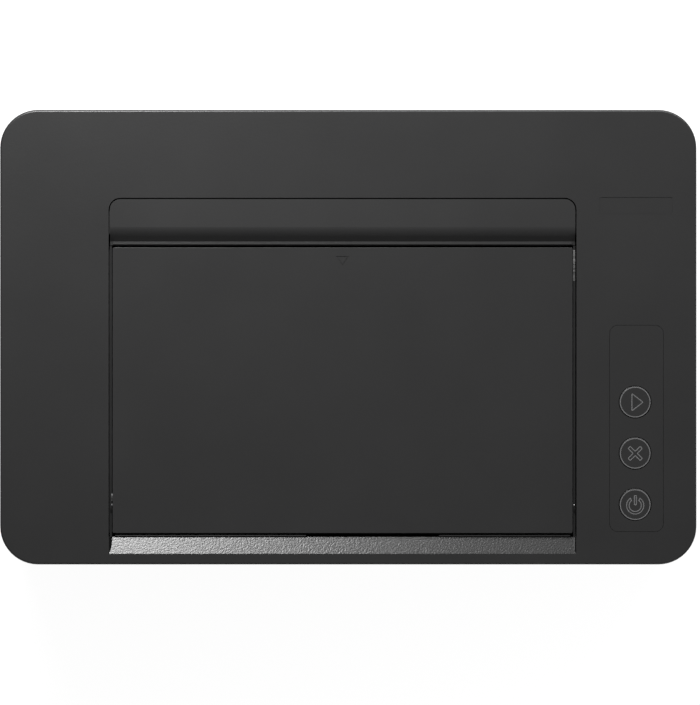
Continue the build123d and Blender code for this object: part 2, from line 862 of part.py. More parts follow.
def place_of(name):
    """Centre (y, z) of a gear in the drive train."""
    return TRAIN[name][0]


def train_gear(name, bore):
    """Gear of the drive train, with a round bore."""
    centre, teeth, phase = TRAIN[name]
    with BuildPart() as gear:
        extrude(gear_sketch(teeth, phase, centre, Plane.YZ.offset(gear_left)), amount=gear_face)
        if gear_radius(teeth) > 12:
            rim = gear_radius(teeth) - 4.0
            for x in ((gear_left, gear_left + 1.8), (gear_right - 1.8, gear_right)):
                bar(rim, x, *centre, mode=Mode.SUBTRACT)
            bar(bore + 3.0, (gear_left, gear_right), *centre)
        bar(bore, (gear_left, gear_right), *centre, mode=Mode.SUBTRACT)
    return gear.part


def frame_holes():
    """Bearing holes in a side frame, as (y, z, radius), for every shaft that reaches it."""
    fuser_y = place_of("fuser")[0]
    holes = [
        (*place_of("drum"), shaft_radius),
        (*place_of("fuser"), shaft_radius),
        (*place_of("registration"), shaft_radius),
        (*place_of("pickup"), shaft_radius),
        (*place_of("exit"), shaft_radius),
        (fuser_y, heat_z(), fuser_radius),
        (drum_y, transfer_z(), thin_shaft_radius),
        (place_of("registration")[0], pinch_z(), thin_shaft_radius),
        (exit_y, exit_pinch_z(), thin_shaft_radius),
    ]
    return [(y, z, radius + running_fit) for y, z, radius in holes]


def heat_z():
    """Height of the heat roller's axis."""
    return place_of("fuser")[1] + 2 * fuser_radius + nip_gap


def transfer_z():
    """Height of the transfer roller's axis."""
    return drum_z - drum_radius - transfer_radius - nip_gap


def pinch_z():
    """Height of the registration pinch roller's axis."""
    return place_of("registration")[1] + registration_radius + pinch_radius + nip_gap


def exit_pinch_z():
    """Height of the exit pinch roller's axis."""
    return exit_z + exit_radius + exit_pinch_radius + nip_gap


# Side frames: upright plates with the bearing holes, a rail for the cartridge and the lamp's bridge
def make_side_frame(side):
    inner = frame_left if side < 0 else frame_right
    outer = inner + side * frame_sheet
    plate_x = sorted((inner, outer))
    fuser_y = place_of("fuser")[0]
    bridge_near = outer + side * 1.5
    bridge_x = sorted((bridge_near, bridge_near + side * 2.5))
    leg_x = sorted((outer, bridge_near + side * 2.5))
    rail_x = sorted((inner, inner - side * 8.5))
    half = 5.0
    tower_top = deck_bottom - flange_thickness
    with BuildPart() as side_frame:
        side_plate(
            [
                (frame_front, pan_top),
                (frame_rear, pan_top),
                (frame_rear, tower_top - 30.0),
                (frame_rear - 30.0, tower_top),
                (frame_tower_front, tower_top),
                (frame_tower_front, frame_height),
                (frame_front, frame_height),
            ],
            plate_x,
        )
        for low, high in ((lamp_leg_low, lamp_leg_low + 3.5), (lamp_leg_high, lamp_leg_high + 3.5)):
            block(leg_x, (fuser_y - half, fuser_y + half), (low, high))
        block(bridge_x, (fuser_y - half, fuser_y + half), (lamp_leg_low, lamp_leg_high + 3.5))
        bar(lamp_radius + press_fit, bridge_x, fuser_y, heat_z(), mode=Mode.SUBTRACT)
        for y, z, radius in frame_holes():
            bar(radius, plate_x, y, z, mode=Mode.SUBTRACT)
        block(rail_x, (-62.0, -6.0), (cartridge_low - 2.0, cartridge_low))
        for x, y in frame_screw_places():
            if x * side > 0:
                tab = sorted((outer, outer + side * tab_length))
                block(tab, (y - tab_width / 2, y + tab_width / 2), (pan_top, pan_top + tab_sheet))
                post(screw_radius + press_fit, x, y, (pan_top, pan_top + tab_sheet), mode=Mode.SUBTRACT)
        if side < 0:
            bar(shaft_radius, (gear_left - 0.5, outer), *place_of("idler"))
        if side > 0:
            for y, z in main_board_posts():
                bar(3.0, (outer, main_board_x), y, z)
    return side_frame.part


def main_board_posts():
    """Places (y, z) of the posts that carry the main board."""
    inset = 4.0
    rows = (main_board_y[0] + inset, main_board_y[1] - inset)
    return [(y, z) for y in rows for z in (main_board_z[0] + inset, main_board_z[1] - inset)]


# Frame screws: one through each tab into the base pan
def make_frame_screws():
    with BuildPart() as frame_screws:
        for x, y in frame_screw_places():
            head_low = pan_top + tab_sheet
            post(screw_radius, x, y, (foot_height + 0.3, head_low))
            post(screw_head_radius, x, y, (head_low, head_low + screw_head))
            block((x - 2.0, x + 2.0), (y - 0.4, y + 0.4), (head_low + 1.0, head_low + screw_head),
                  mode=Mode.SUBTRACT)
    return frame_screws.part


def train_roller(name, radius, spans, reach):
    """Roller on a shaft that carries a gear of the train; spans are its thick stretches in X."""
    centre = place_of(name)
    with BuildPart() as roller:
        bar(shaft_radius, (gear_left - 1.0, reach), *centre)
        for span in spans:
            bar(radius, span, *centre)
    return roller.part


def joined(first, second):
    """Two overlapping solids made into one piece."""
    with BuildPart() as piece:
        add(first)
        add(second)
    return piece.part


# Drum: coated tube with end flanges on its shaft
def make_drum():
    return train_roller("drum", drum_radius, [(cartridge_x[0] + 0.4, cartridge_x[1] - 0.4)], shaft_end)


def free_roller(radius, x, y, z, shaft, shaft_x):
    """Plain roller with a through shaft."""
    with BuildPart() as roller:
        bar(radius, x, y, z)
        bar(shaft, shaft_x, y, z)
    return roller.part


def developer_place():
    """Centre (y, z) of the developer roller, in front of the drum."""
    return drum_y - drum_radius - developer_radius - nip_gap, developer_z


# Toner cartridge: hopper, end plates, waste box and cleaning edge in one welded shell
def make_toner_cartridge():
    y, z = developer_place()
    hopper_rear = 36.0
    belly = cartridge_low + 2.0
    skin = cartridge_wall
    waste_front = 54.0
    waste_low = cartridge_top - 9.0
    ends = ((cartridge_x[0] - 2.5, cartridge_x[0]), (cartridge_x[1], cartridge_x[1] + 2.5))
    between = cartridge_x
    inside = (cartridge_x[0] + skin, cartridge_x[1] - skin)
    with BuildPart() as toner_cartridge:
        side_plate(
            [
                (cartridge_front, belly),
                (18.0, belly),
                (24.0, belly + 7.5),
                (hopper_rear, belly + 9.5),
                (hopper_rear, cartridge_top),
                (cartridge_front, cartridge_top),
            ],
            between,
        )
        side_plate(
            [
                (cartridge_front + skin, belly + skin),
                (18.0 - skin / 2, belly + skin),
                (24.0 - skin / 2, belly + 7.5 + skin),
                (hopper_rear - skin, belly + 9.5 + skin),
                (hopper_rear - skin, cartridge_top - skin),
                (cartridge_front + skin, cartridge_top - skin),
            ],
            inside,
            mode=Mode.SUBTRACT,
        )
        block((inside[0] + 4, inside[1] - 4), (18.5, 23.0), (belly + 1.0, belly + 9.0), mode=Mode.SUBTRACT)
        block(between, (waste_front, cartridge_rear - 2.0), (waste_low, cartridge_top))
        block(inside, (waste_front + skin, cartridge_rear - 2.0 - skin),
              (waste_low + skin, cartridge_top - skin), mode=Mode.SUBTRACT)
        block(between, (drum_y + drum_radius + 1.0, drum_y + drum_radius + 2.5), (drum_z + 5.0, waste_low))
        for x in ends:
            side_plate(
                [
                    (cartridge_front, cartridge_low),
                    (20.0, cartridge_low),
                    (24.0, cartridge_low - 7.0),
                    (62.0, cartridge_low - 7.0),
                    (cartridge_rear, cartridge_low),
                    (cartridge_rear, cartridge_top),
                    (cartridge_front, cartridge_top),
                ],
                x,
            )
            bar(shaft_radius + running_fit, x, drum_y, drum_z, mode=Mode.SUBTRACT)
            bar(thin_shaft_radius + running_fit, x, y, z, mode=Mode.SUBTRACT)
        block((recess_centre - 40, recess_centre + 40), (cartridge_front - 9, cartridge_front + 0.5),
              (cartridge_top - 15, cartridge_top - 2))
        block((recess_centre - 34, recess_centre + 34), (cartridge_front - 6.5, cartridge_front),
              (cartridge_top - 12.5, cartridge_top - 2), mode=Mode.SUBTRACT)
    return toner_cartridge.part


# Fuser housing: hood over the heat roller, between the frames
def make_fuser_housing():
    y = place_of("fuser")[0]
    low = heat_z() + 2.0
    with BuildPart() as fuser_housing:
        block((frame_left, frame_right), (y - 13.0, y + 13.0), (low, low + 14.5))
        bar(fuser_radius + 1.0, (frame_left, frame_right), y, heat_z(), mode=Mode.SUBTRACT)
    return fuser_housing.part


# Heat roller: thin tube round the lamp
def make_heat_roller():
    y = place_of("fuser")[0]
    x = (frame_left - frame_sheet - 0.8, frame_right + frame_sheet + 0.8)
    with BuildPart() as heat_roller:
        bar(fuser_radius, x, y, heat_z())
        bar(fuser_radius - heat_tube_wall, x, y, heat_z(), mode=Mode.SUBTRACT)
    return heat_roller.part


# Fuser lamp: halogen tube held by the frames' bridges
def make_fuser_lamp():
    reach = frame_sheet + 4.0
    with BuildPart() as fuser_lamp:
        bar(lamp_radius, (frame_left - reach, frame_right + reach), place_of("fuser")[0], heat_z())
    return fuser_lamp.part


# Exit roller: shaft with four grip rings and its gear
def make_exit_roller():
    rings = []
    for index in range(4):
        middle = recess_centre - 75.0 + 50.0 * index
        rings.append((middle - 9.0, middle + 9.0))
    roller = train_roller("exit", exit_radius, rings, frame_right + frame_sheet + 1.0)
    return joined(roller, train_gear("exit", shaft_radius))


# Exit pinch roller above the exit roller
def make_exit_pinch_roller():
    with BuildPart() as exit_pinch_roller:
        bar(thin_shaft_radius, (frame_left - 1.5, frame_right + 1.5), exit_y, exit_pinch_z())
        for index in range(4):
            middle = recess_centre - 75.0 + 50.0 * index
            bar(exit_pinch_radius, (middle - 7.0, middle + 7.0), exit_y, exit_pinch_z())
    return exit_pinch_roller.part


# Rear paper guide: bent sheet that turns the paper up and forward to the exit rollers
def make_rear_paper_guide():
    sheet = 1.5
    bend = 20.0
    top = exit_z + exit_radius - 1.0
    rear = place_of("fuser")[0] + 13.0
    foot = heat_z() + 2.0 + 14.5
    diagonal = math.sqrt(0.5)
    middle = (rear - bend, top - bend)
    inner = bend - sheet
    with BuildPart() as rear_paper_guide:
        with BuildSketch(Plane.YZ.offset(frame_left)):
            with BuildLine():
                Line((rear, foot), (rear, middle[1]))
                ThreePointArc((rear, middle[1]),
                              (middle[0] + bend * diagonal, middle[1] + bend * diagonal), (middle[0], top))
                Polyline((middle[0], top), (exit_y + 8.5, top), (exit_y + 8.5, top - sheet),
                         (middle[0], top - sheet))
                ThreePointArc((middle[0], top - sheet),
                              (middle[0] + inner * diagonal, middle[1] + inner * diagonal),
                              (rear - sheet, middle[1]))
                Polyline((rear - sheet, middle[1]), (rear - sheet, foot), (rear, foot))
            make_face()
        extrude(amount=frame_right - frame_left)
    return rear_paper_guide.part


# Registration roller with its moulded gear
def make_registration_roller():
    roller = train_roller("registration", registration_radius, [(roller_left, roller_right)], shaft_end)
    return joined(roller, train_gear("registration", shaft_radius))


# Pickup roller: short rubber drum in the middle of its shaft
def make_pickup_roller():
    span = (recess_centre - pickup_length / 2, recess_centre + pickup_length / 2)
    return train_roller("pickup", pickup_radius, [span], shaft_end)


# Feed guides: the ramp behind the sheets and the plates between the rollers
def make_feed_guides():
    feed_y = place_of("registration")[0]
    fuser_y = place_of("fuser")[0]
    top = paper_path_z - 1.2
    sheet = 1.5
    span = (frame_left, frame_right)
    with BuildPart() as feed_guides:
        side_plate([(-3.0, bed_z + bed_sheet), (-1.0, bed_z + bed_sheet), (1.5, ramp_top), (-0.5, ramp_top)],
                   span)
        block(span, (feed_y + registration_radius + 2, drum_y - transfer_radius - 1), (top - sheet, top))
        block(span, (drum_y + transfer_radius + 1, fuser_y - fuser_radius - 1), (top - sheet, top))
    return feed_guides.part


# Scanner shelf: sheet across the frames, with the beam's slot
def make_scanner_shelf():
    x = (frame_left, frame_right)
    y = (scanner_front - 4.0, scanner_rear + 2.0)
    z = (shelf_z, shelf_z + shelf_sheet)
    slot = (roller_left - 6.0, roller_right + 6.0)
    fold_top = shelf_z + 6.0
    with BuildPart() as scanner_shelf:
        block(x, y, z)
        block(slot, (beam_front, beam_front + beam_width), z, mode=Mode.SUBTRACT)
        for front in (y[0], y[1] - shelf_sheet):
            block(x, (front, front + shelf_sheet), (z[1], fold_top))
    return scanner_shelf.part


# Scanner housing: open box with seats for the lens and mirror, and the laser's block
def make_scanner_housing():
    low = shelf_z + shelf_sheet
    top = low + scanner_height
    x = (roller_left - 9, roller_right + 9)
    skin = scanner_wall
    with BuildPart() as scanner_housing:
        block(x, (scanner_front, scanner_rear), (low, top))
        block((x[0] + skin, x[1] - skin), (scanner_front + skin, scanner_rear - skin), (low + skin, top),
              mode=Mode.SUBTRACT)
        block((roller_left - 4, roller_right + 4), (beam_front, beam_front + beam_width),
              (low, low + skin), mode=Mode.SUBTRACT)
        for end in ((x[0] + skin, roller_left - 2), (roller_right + 2, x[1] - skin)):
            side_plate([(beam_front - 4, low + skin), (beam_front + 9, low + skin),
                        (beam_front + 9, low + 14.0), (beam_front - 4, low + 4.0)], end)
        for end in (-58.0, 52.0):
            block((end, end + 4.0), (-12.0, -4.0), (low + skin, low + skin + 2.5))
        block((50.0, 66.0), (polygon_y - 8, polygon_y + 8), (low + skin, low + skin + 12.0))
        bar(3.5, (44.0, 50.5), polygon_y, low + skin + 7.3)
    return scanner_housing.part


# Scanner lid
def make_scanner_lid():
    low = shelf_z + shelf_sheet + scanner_height
    with BuildPart() as scanner_lid:
        block((roller_left - 9, roller_right + 9), (scanner_front, scanner_rear), (low, low + 1.5))
    return scanner_lid.part


# Fold mirror: glass strip that turns the beam down to the drum
def make_fold_mirror():
    low = shelf_z + shelf_sheet
    rise = 10.0 / 13.0
    with BuildPart() as fold_mirror:
        side_plate(
            [
                (beam_front - 3, low + 4.0 + rise),
                (beam_front + 8, low + 4.0 + 12 * rise),
                (beam_front + 7, low + 4.0 + 11 * rise + 2.6),
                (beam_front - 4, low + 4.0 + 2.6),
            ],
            (roller_left - 6, roller_right + 6),
        )
    return fold_mirror.part


# Scan lens: curved bar in front of the polygon mirror
def make_scan_lens():
    low = shelf_z + shelf_sheet + scanner_wall + 2.5
    with BuildPart() as scan_lens:
        with BuildSketch(Plane.XY.offset(low)):
            with BuildLine():
                Line((-60.0, -10.0), (60.0, -10.0))
                Line((60.0, -10.0), (60.0, -6.5))
                ThreePointArc((60.0, -6.5), (0, -3.0), (-60.0, -6.5))
                Line((-60.0, -6.5), (-60.0, -10.0))
            make_face()
        extrude(amount=8.0)
    return scan_lens.part


# Polygon motor: round motor on its plate
def make_polygon_motor():
    low = shelf_z + shelf_sheet + scanner_wall
    with BuildPart() as polygon_motor:
        block((recess_centre - 22, recess_centre + 22), (polygon_y - 14, polygon_y + 14), (low, low + 1.6))
        post(11.0, recess_centre, polygon_y, (low + 1.6, low + 5.0))
        post(1.5, recess_centre, polygon_y, (low + 5.0, low + 12.5))
    return polygon_motor.part


# Polygon mirror: six polished faces on the motor's shaft
def make_polygon_mirror():
    low = shelf_z + shelf_sheet + scanner_wall + 5.3
    with BuildPart() as polygon_mirror:
        with BuildSketch(Plane.XY.offset(low)):
            with Locations((recess_centre, polygon_y)):
                RegularPolygon(14.0, 6)
                Circle(1.5 + running_fit, mode=Mode.SUBTRACT)
        extrude(amount=4.0)
    return polygon_mirror.part



# Motor bracket: steel plate on three legs outside the gears
def make_motor_bracket():
    plate_x = (gear_left - 4.5, gear_left - 3.0)
    y, z = place_of("motor")
    legs = ((y - 21.7, z + 12.7), (y + 3.3, z + 20.7), (y - 15.7, z - 13.8))
    with BuildPart() as motor_bracket:
        side_plate(
            [(y - 26.7, z - 18.8), (y + 21.3, z - 18.8), (y + 21.3, z + 25.7), (y - 26.7, z + 25.7)],
            plate_x,
        )
        for leg in legs:
            bar(2.5, (plate_x[1], frame_left - frame_sheet), *leg)
        bar(4.0, plate_x, y, z, mode=Mode.SUBTRACT)
    return motor_bracket.part


# Main motor: can with a front boss, behind the bracket
def make_main_motor():
    y, z = place_of("motor")
    face = gear_left - 4.5
    with BuildPart() as main_motor:
        bar(17.0, (face - 24.0, face), y, z)
        fillet(main_motor.edges().group_by(Axis.X)[0], 2.0)
        bar(3.8, (face, face + 2.0), y, z)
        bar(1.5, (face, gear_right), y, z)
    return main_motor.part


# Motor pinion on the motor's shaft
def make_motor_pinion():
    return train_gear("motor", 1.5 + running_fit)


# Pressure roller under the heat roller
def make_pressure_roller():
    return train_roller("fuser", fuser_radius, [(roller_left, roller_right)], shaft_end)


# Power supply board: transformer, capacitors and heat sink on one board
def make_power_supply():
    x, y, z = supply_x, supply_y, supply_z
    top = z + board_sheet
    with BuildPart() as power_supply:
        block(x, y, (z, top))
        block((x[0] + 6, x[0] + 34), (y[0] + 50, y[0] + 80), (top, top + 22))
        for index in range(2):
            post(8.0, x[0] + 12 + 19 * index, y[0] + 24, (top, top + 28))
        block((x[0] + 5, x[0] + 8), (y[0] + 90, y[0] + 130), (top, top + 24))
        for index in range(5):
            low = y[0] + 92 + 8 * index
            block((x[0] + 8, x[0] + 14), (low, low + 2), (top, top + 24))
        block((x[0] + 20, x[0] + 34), (y[0] + 95, y[0] + 112), (top, top + 14))
    return power_supply.part


# Main board, upright beside the right frame
def make_main_board():
    y, z = main_board_y, main_board_z
    face = main_board_x + board_sheet
    with BuildPart() as main_board:
        block((main_board_x, face), y, z)
        block((face, face + 2.0), (y[0] + 40, y[0] + 66), (z[0] + 30, z[0] + 56))
        block((face, face + 1.4), (y[0] + 78, y[0] + 96), (z[0] + 34, z[0] + 46))
        for index in range(3):
            low = y[0] + 12 + 22 * index
            block((face, face + 7.0), (low, low + 16), (z[0] + 5, z[0] + 10))
        block((main_board_x, face), (y[1], half_depth - wall - port_depth + 4), (z[0] + 10, z[0] + 26))
    return main_board.part


# Fan frame: square ring with three spokes, against the right cover's vents
def make_fan_frame():
    outer = half_width - wall
    x = (outer - fan_depth, outer)
    half = fan_size / 2
    bore = half - 1.5
    with BuildPart() as fan_frame:
        block(x, (fan_y - half, fan_y + half), (fan_z - half, fan_z + half))
        bar(bore, x, fan_y, fan_z, mode=Mode.SUBTRACT)
        bar(10.0, (x[0], x[0] + 1.5), fan_y, fan_z)
        bar(1.5, (x[0], x[0] + 7.5), fan_y, fan_z)
        for turn in (0, 120, 240):
            with Locations(Location((x[0] + 0.75, fan_y, fan_z), (turn, 0, 0))):
                with Locations((0, half / 2 + 4.0, 0)):
                    Box(1.5, half - 5.0, 3.0)
    return fan_frame.part


# Fan rotor: hub and slanted blades on the frame's pin
def make_fan_rotor():
    outer = half_width - wall
    x = (outer - fan_depth + 2.2, outer - 1.2)
    tip = fan_size / 2 - 2.3
    with BuildPart() as fan_rotor:
        for index in range(blade_count):
            turn = 360 / blade_count * index
            with Locations(Location(((x[0] + x[1]) / 2, fan_y, fan_z), (turn, 0, 0))):
                with Locations(Location((0, tip / 2 + 3.0, 0), (0, 38, 0))):
                    Box(7.0, tip - 6.5, 1.0)
        bar(9.5, x, fan_y, fan_z)
        bar(1.5 + running_fit, (x[0], x[0] + 6.0), fan_y, fan_z, mode=Mode.SUBTRACT)
    return fan_rotor.part


def socket(x, z, size, depth_in, pocket, pocket_depth):
    """Socket body flush with the rear face, with a pocket for its plug."""
    y = (half_depth - depth_in, half_depth)
    with BuildPart() as body:
        block((x - size[0] / 2, x + size[0] / 2), y, (z - size[1] / 2, z + size[1] / 2))
        block((x - pocket[0] / 2, x + pocket[0] / 2), (half_depth - pocket_depth, half_depth),
              (z - pocket[1] / 2, z + pocket[1] / 2), mode=Mode.SUBTRACT)
    return body.part


# Power inlet: shrouded three-pin socket
def make_power_inlet():
    pocket_depth = 16.0
    body = socket(inlet_x, inlet_z, (inlet_width, inlet_height), inlet_depth, (23.0, 15.6), pocket_depth)
    pin_y = (half_depth - pocket_depth - 0.5, half_depth - 6.0)
    with BuildPart() as power_inlet:
        add(body)
        for x, z in ((-7.0, -2.0), (0, 2.0), (7.0, -2.0)):
            pin_x = inlet_x + x
            pin_z = inlet_z + z
            block((pin_x - 1.0, pin_x + 1.0), pin_y, (pin_z - 2.0, pin_z + 2.0))
    return power_inlet.part


# Data port: square socket with its tongue
def make_data_port():
    body = socket(port_x, port_z, (port_width, port_height), port_depth, (8.6, 7.9), 9.0)
    tongue_y = (half_depth - 9.5, half_depth - 1.5)
    with BuildPart() as data_port:
        add(body)
        block((port_x - 2.8, port_x + 2.8), tongue_y, (port_z - 1.6, port_z + 1.6))
    return data_port.part


# Paper bed: floor of the input bay, on ribs over the pan
def make_paper_bed():
    slot_half = 3.5
    with BuildPart() as paper_bed:
        block((frame_left, frame_right), (frame_front, 20.0), (bed_z, bed_z + bed_sheet))
        for x in (-100.0, 0.0, 94.0):
            block((x - 1.0, x + 1.0), (-50.0, 18.0), (pan_top, bed_z))
        for low, high in ((guide_open[0] - 3, guide_open[0] + guide_travel + 6),
                          (guide_open[1] - guide_travel - 6, guide_open[1] + 3)):
            for y in rack_rows():
                block((low, high), (y - slot_half, y + slot_half), (bed_z, bed_z + bed_sheet),
                      mode=Mode.SUBTRACT)
        post(3.0, recess_centre, guide_y, (bed_z - rack_height - 1.5, bed_z))
    return paper_bed.part


def rack_rows():
    """Centres in Y of the two racks' backs, either side of the pinion."""
    reach = gear_radius(guide_teeth) + 4.0
    return guide_y - reach, guide_y + reach


# Guide pinion: turns between the two racks under the bed
def make_guide_pinion():
    low = bed_z - rack_height - 0.5
    plane = Plane.XY.offset(low)
    with BuildPart() as guide_pinion:
        extrude(gear_sketch(guide_teeth, 0.0, (recess_centre, guide_y), plane), amount=rack_height)
        post(3.0 + running_fit, recess_centre, guide_y, (low, low + rack_height), mode=Mode.SUBTRACT)
    return guide_pinion.part


# Paper guide: upright fence on the bed, with a leg and a toothed rack under it
def make_left_paper_guide():
    pitch_line = guide_y - gear_radius(guide_teeth)
    tooth_pitch = math.pi * module
    slant = math.tan(pressure_angle)
    half = tooth_pitch / 4 - backlash / 2
    rack_low = bed_z - rack_height - 0.5
    foot_z = bed_z + bed_sheet + moving_gap
    tip_y = pitch_line + addendum * module
    root_y = pitch_line - dedendum * module
    back_y = rack_rows()[0] - 2.0
    start = guide_open[0]
    end = recess_centre + 3.5 * tooth_pitch
    count = int((end - start) / tooth_pitch)
    first = recess_centre + tooth_pitch / 2 + 2 * tooth_pitch
    fence_y = (guide_y - guide_length / 2, guide_y + guide_length / 2)
    with BuildPart() as left_paper_guide:
        block((start - guide_wall, start), fence_y, (foot_z, foot_z + guide_height))
        block((start - guide_wall, start + 12.0), fence_y, (foot_z, foot_z + 1.0))
        leg = rack_rows()[0]
        block((start - guide_wall, start + 3.0), (leg - 2.0, leg + 2.0), (rack_low, foot_z))
        block((start - guide_wall, end), (back_y, root_y), (rack_low, rack_low + rack_height))
        with BuildSketch(Plane.XY.offset(rack_low)) as teeth:
            for index in range(count):
                x = first - index * tooth_pitch
                Polygon(
                    (x - half - (pitch_line - root_y) * slant, root_y - 0.2),
                    (x + half + (pitch_line - root_y) * slant, root_y - 0.2),
                    (x + half - (tip_y - pitch_line) * slant, tip_y),
                    (x - half + (tip_y - pitch_line) * slant, tip_y),
                    align=None,
                )
        extrude(amount=rack_height)
    return left_paper_guide.part


# Right paper guide: the left one turned half round about the pinion
def make_right_paper_guide(left):
    with BuildPart() as right_paper_guide:
        with Locations(Location((recess_centre, guide_y, 0), (0, 0, 180))):
            add(left.moved(Location((-recess_centre, -guide_y, 0))))
    return right_paper_guide.part


# Lift plate: raises the sheets' rear edge to the pickup roller
def make_lift_plate():
    low = bed_z + bed_sheet + moving_gap + 0.7
    half = 84.0
    hinge_half = 1.2
    x = (recess_centre - half, recess_centre + half)
    with BuildPart() as lift_plate:
        block(x, (lift_front, lift_rear), (low, low + lift_sheet))
        bar(hinge_half, x, lift_front, low + lift_sheet / 2)
        for end in (x[0], x[1] - 1.2):
            block((end, end + 1.2), (lift_front + 6, lift_rear), (low + lift_sheet, low + lift_sheet + 2.0))
    return lift_plate.part


def make_all():
    """Every piece by name."""
    left_guide = make_left_paper_guide()
    rows = button_rows()
    pinch_x = (frame_left - 1.5, frame_right + 1.5)
    developer_shaft = (cartridge_x[0] - 3.0, cartridge_x[1] + 3.0)
    feed_y = place_of("registration")[0]
    rollers = (roller_left, roller_right)
    return {
        "top_cover": make_top_cover(),
        "exit_hood": make_exit_hood(),
        "output_tray": make_output_tray(),
        "output_flap": make_output_flap(),
        "left_cover": make_side_cover(-1),
        "right_cover": make_side_cover(1),
        "front_cover": make_front_cover(),
        "input_tray_door": make_input_tray_door(),
        "rear_panel": make_rear_panel(),
        "rear_door": make_rear_door(),
        "base_pan": make_base_pan(),
        "rubber_feet": make_rubber_feet(),
        "control_panel": make_control_panel(),
        "go_button": make_button(rows[0]),
        "cancel_button": make_button(rows[1]),
        "power_button": make_button(rows[2]),
        "control_board": make_control_board(),
        "left_frame": make_side_frame(-1),
        "right_frame": make_side_frame(1),
        "frame_screws": make_frame_screws(),
        "scanner_shelf": make_scanner_shelf(),
        "scanner_housing": make_scanner_housing(),
        "scanner_lid": make_scanner_lid(),
        "fold_mirror": make_fold_mirror(),
        "scan_lens": make_scan_lens(),
        "polygon_motor": make_polygon_motor(),
        "polygon_mirror": make_polygon_mirror(),
        "toner_cartridge": make_toner_cartridge(),
        "drum": make_drum(),
        "drum_gear": train_gear("drum", shaft_radius + press_fit),
        "developer_roller": free_roller(
            developer_radius, rollers, *developer_place(), thin_shaft_radius, developer_shaft
        ),
        "transfer_roller": free_roller(
            transfer_radius, rollers, drum_y, transfer_z(), thin_shaft_radius, pinch_x
        ),
        "registration_roller": make_registration_roller(),
        "registration_pinch": free_roller(
            pinch_radius, rollers, feed_y, pinch_z(), thin_shaft_radius, pinch_x
        ),
        "pickup_roller": make_pickup_roller(),
        "pickup_gear": train_gear("pickup", shaft_radius + press_fit),
        "fuser_housing": make_fuser_housing(),
        "heat_roller": make_heat_roller(),
        "fuser_lamp": make_fuser_lamp(),
        "pressure_roller": make_pressure_roller(),
        "fuser_gear": train_gear("fuser", shaft_radius + press_fit),
        "exit_roller": make_exit_roller(),
        "exit_pinch_roller": make_exit_pinch_roller(),
        "idler_gear": train_gear("idler", shaft_radius + running_fit),
        "rear_paper_guide": make_rear_paper_guide(),
        "feed_guides": make_feed_guides(),
        "motor_bracket": make_motor_bracket(),
        "main_motor": make_main_motor(),
        "motor_pinion": make_motor_pinion(),
        "main_board": make_main_board(),
        "power_supply": make_power_supply(),
        "power_inlet": make_power_inlet(),
        "data_port": make_data_port(),
        "fan_frame": make_fan_frame(),
        "fan_rotor": make_fan_rotor(),
        "paper_bed": make_paper_bed(),
        "guide_pinion": make_guide_pinion(),
        "left_paper_guide": left_guide,
        "right_paper_guide": make_right_paper_guide(left_guide),
        "lift_plate": make_lift_plate(),
    }


for name, part in make_all().items():
    part.label = name
    export_step(part, f"parts/{name}.step")
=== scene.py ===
"""Studio view of the laser printer, seen from straight above.

Metres; X runs to the printer's right, Y to its rear and Z up.
"""
import math

import bmesh
import bpy
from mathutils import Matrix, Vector


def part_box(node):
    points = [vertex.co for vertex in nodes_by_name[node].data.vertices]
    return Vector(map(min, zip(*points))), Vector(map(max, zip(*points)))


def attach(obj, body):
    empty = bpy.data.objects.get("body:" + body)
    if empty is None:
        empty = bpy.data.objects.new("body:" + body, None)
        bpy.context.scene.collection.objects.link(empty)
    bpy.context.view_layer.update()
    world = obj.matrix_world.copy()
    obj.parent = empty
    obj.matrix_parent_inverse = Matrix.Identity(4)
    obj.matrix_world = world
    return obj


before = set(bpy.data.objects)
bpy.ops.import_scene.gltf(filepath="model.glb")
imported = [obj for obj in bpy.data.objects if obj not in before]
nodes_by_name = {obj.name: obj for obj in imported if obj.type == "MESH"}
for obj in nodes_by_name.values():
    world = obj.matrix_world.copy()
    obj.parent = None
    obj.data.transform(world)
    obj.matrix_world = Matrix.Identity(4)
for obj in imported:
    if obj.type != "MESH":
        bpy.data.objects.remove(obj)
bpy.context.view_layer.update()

# Photograph: its size, the printer's outline in it, and the scale that follows
IMAGE_WIDTH = 700
IMAGE_HEIGHT = 705
OUTLINE_LEFT = 0.0
OUTLINE_RIGHT = 696.5
OUTLINE_TOP = 110.0
OUTLINE_BOTTOM = 564.3
DECK_LOW, DECK_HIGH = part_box("top_cover")
DECK_Z = DECK_HIGH.z
PIXEL = (DECK_HIGH.x - DECK_LOW.x) / (OUTLINE_RIGHT - OUTLINE_LEFT)


def spot(pixel_x, pixel_y):
    """Where a pixel of the photograph lies on the deck."""
    return (
        (pixel_x - (OUTLINE_LEFT + OUTLINE_RIGHT) / 2) * PIXEL,
        ((OUTLINE_TOP + OUTLINE_BOTTOM) / 2 - pixel_y) * PIXEL,
    )


# Shader nodes
NOISE_RUN = (0.3, 0.7)  # where most values of a noise lie
COLOUR_RUN = (0.35, 0.65)
SHARE = (0.0, 1.0)
MIX_FIRST, MIX_SECOND, MIX_RESULT = 6, 7, 2  # the Mix node's colour sockets


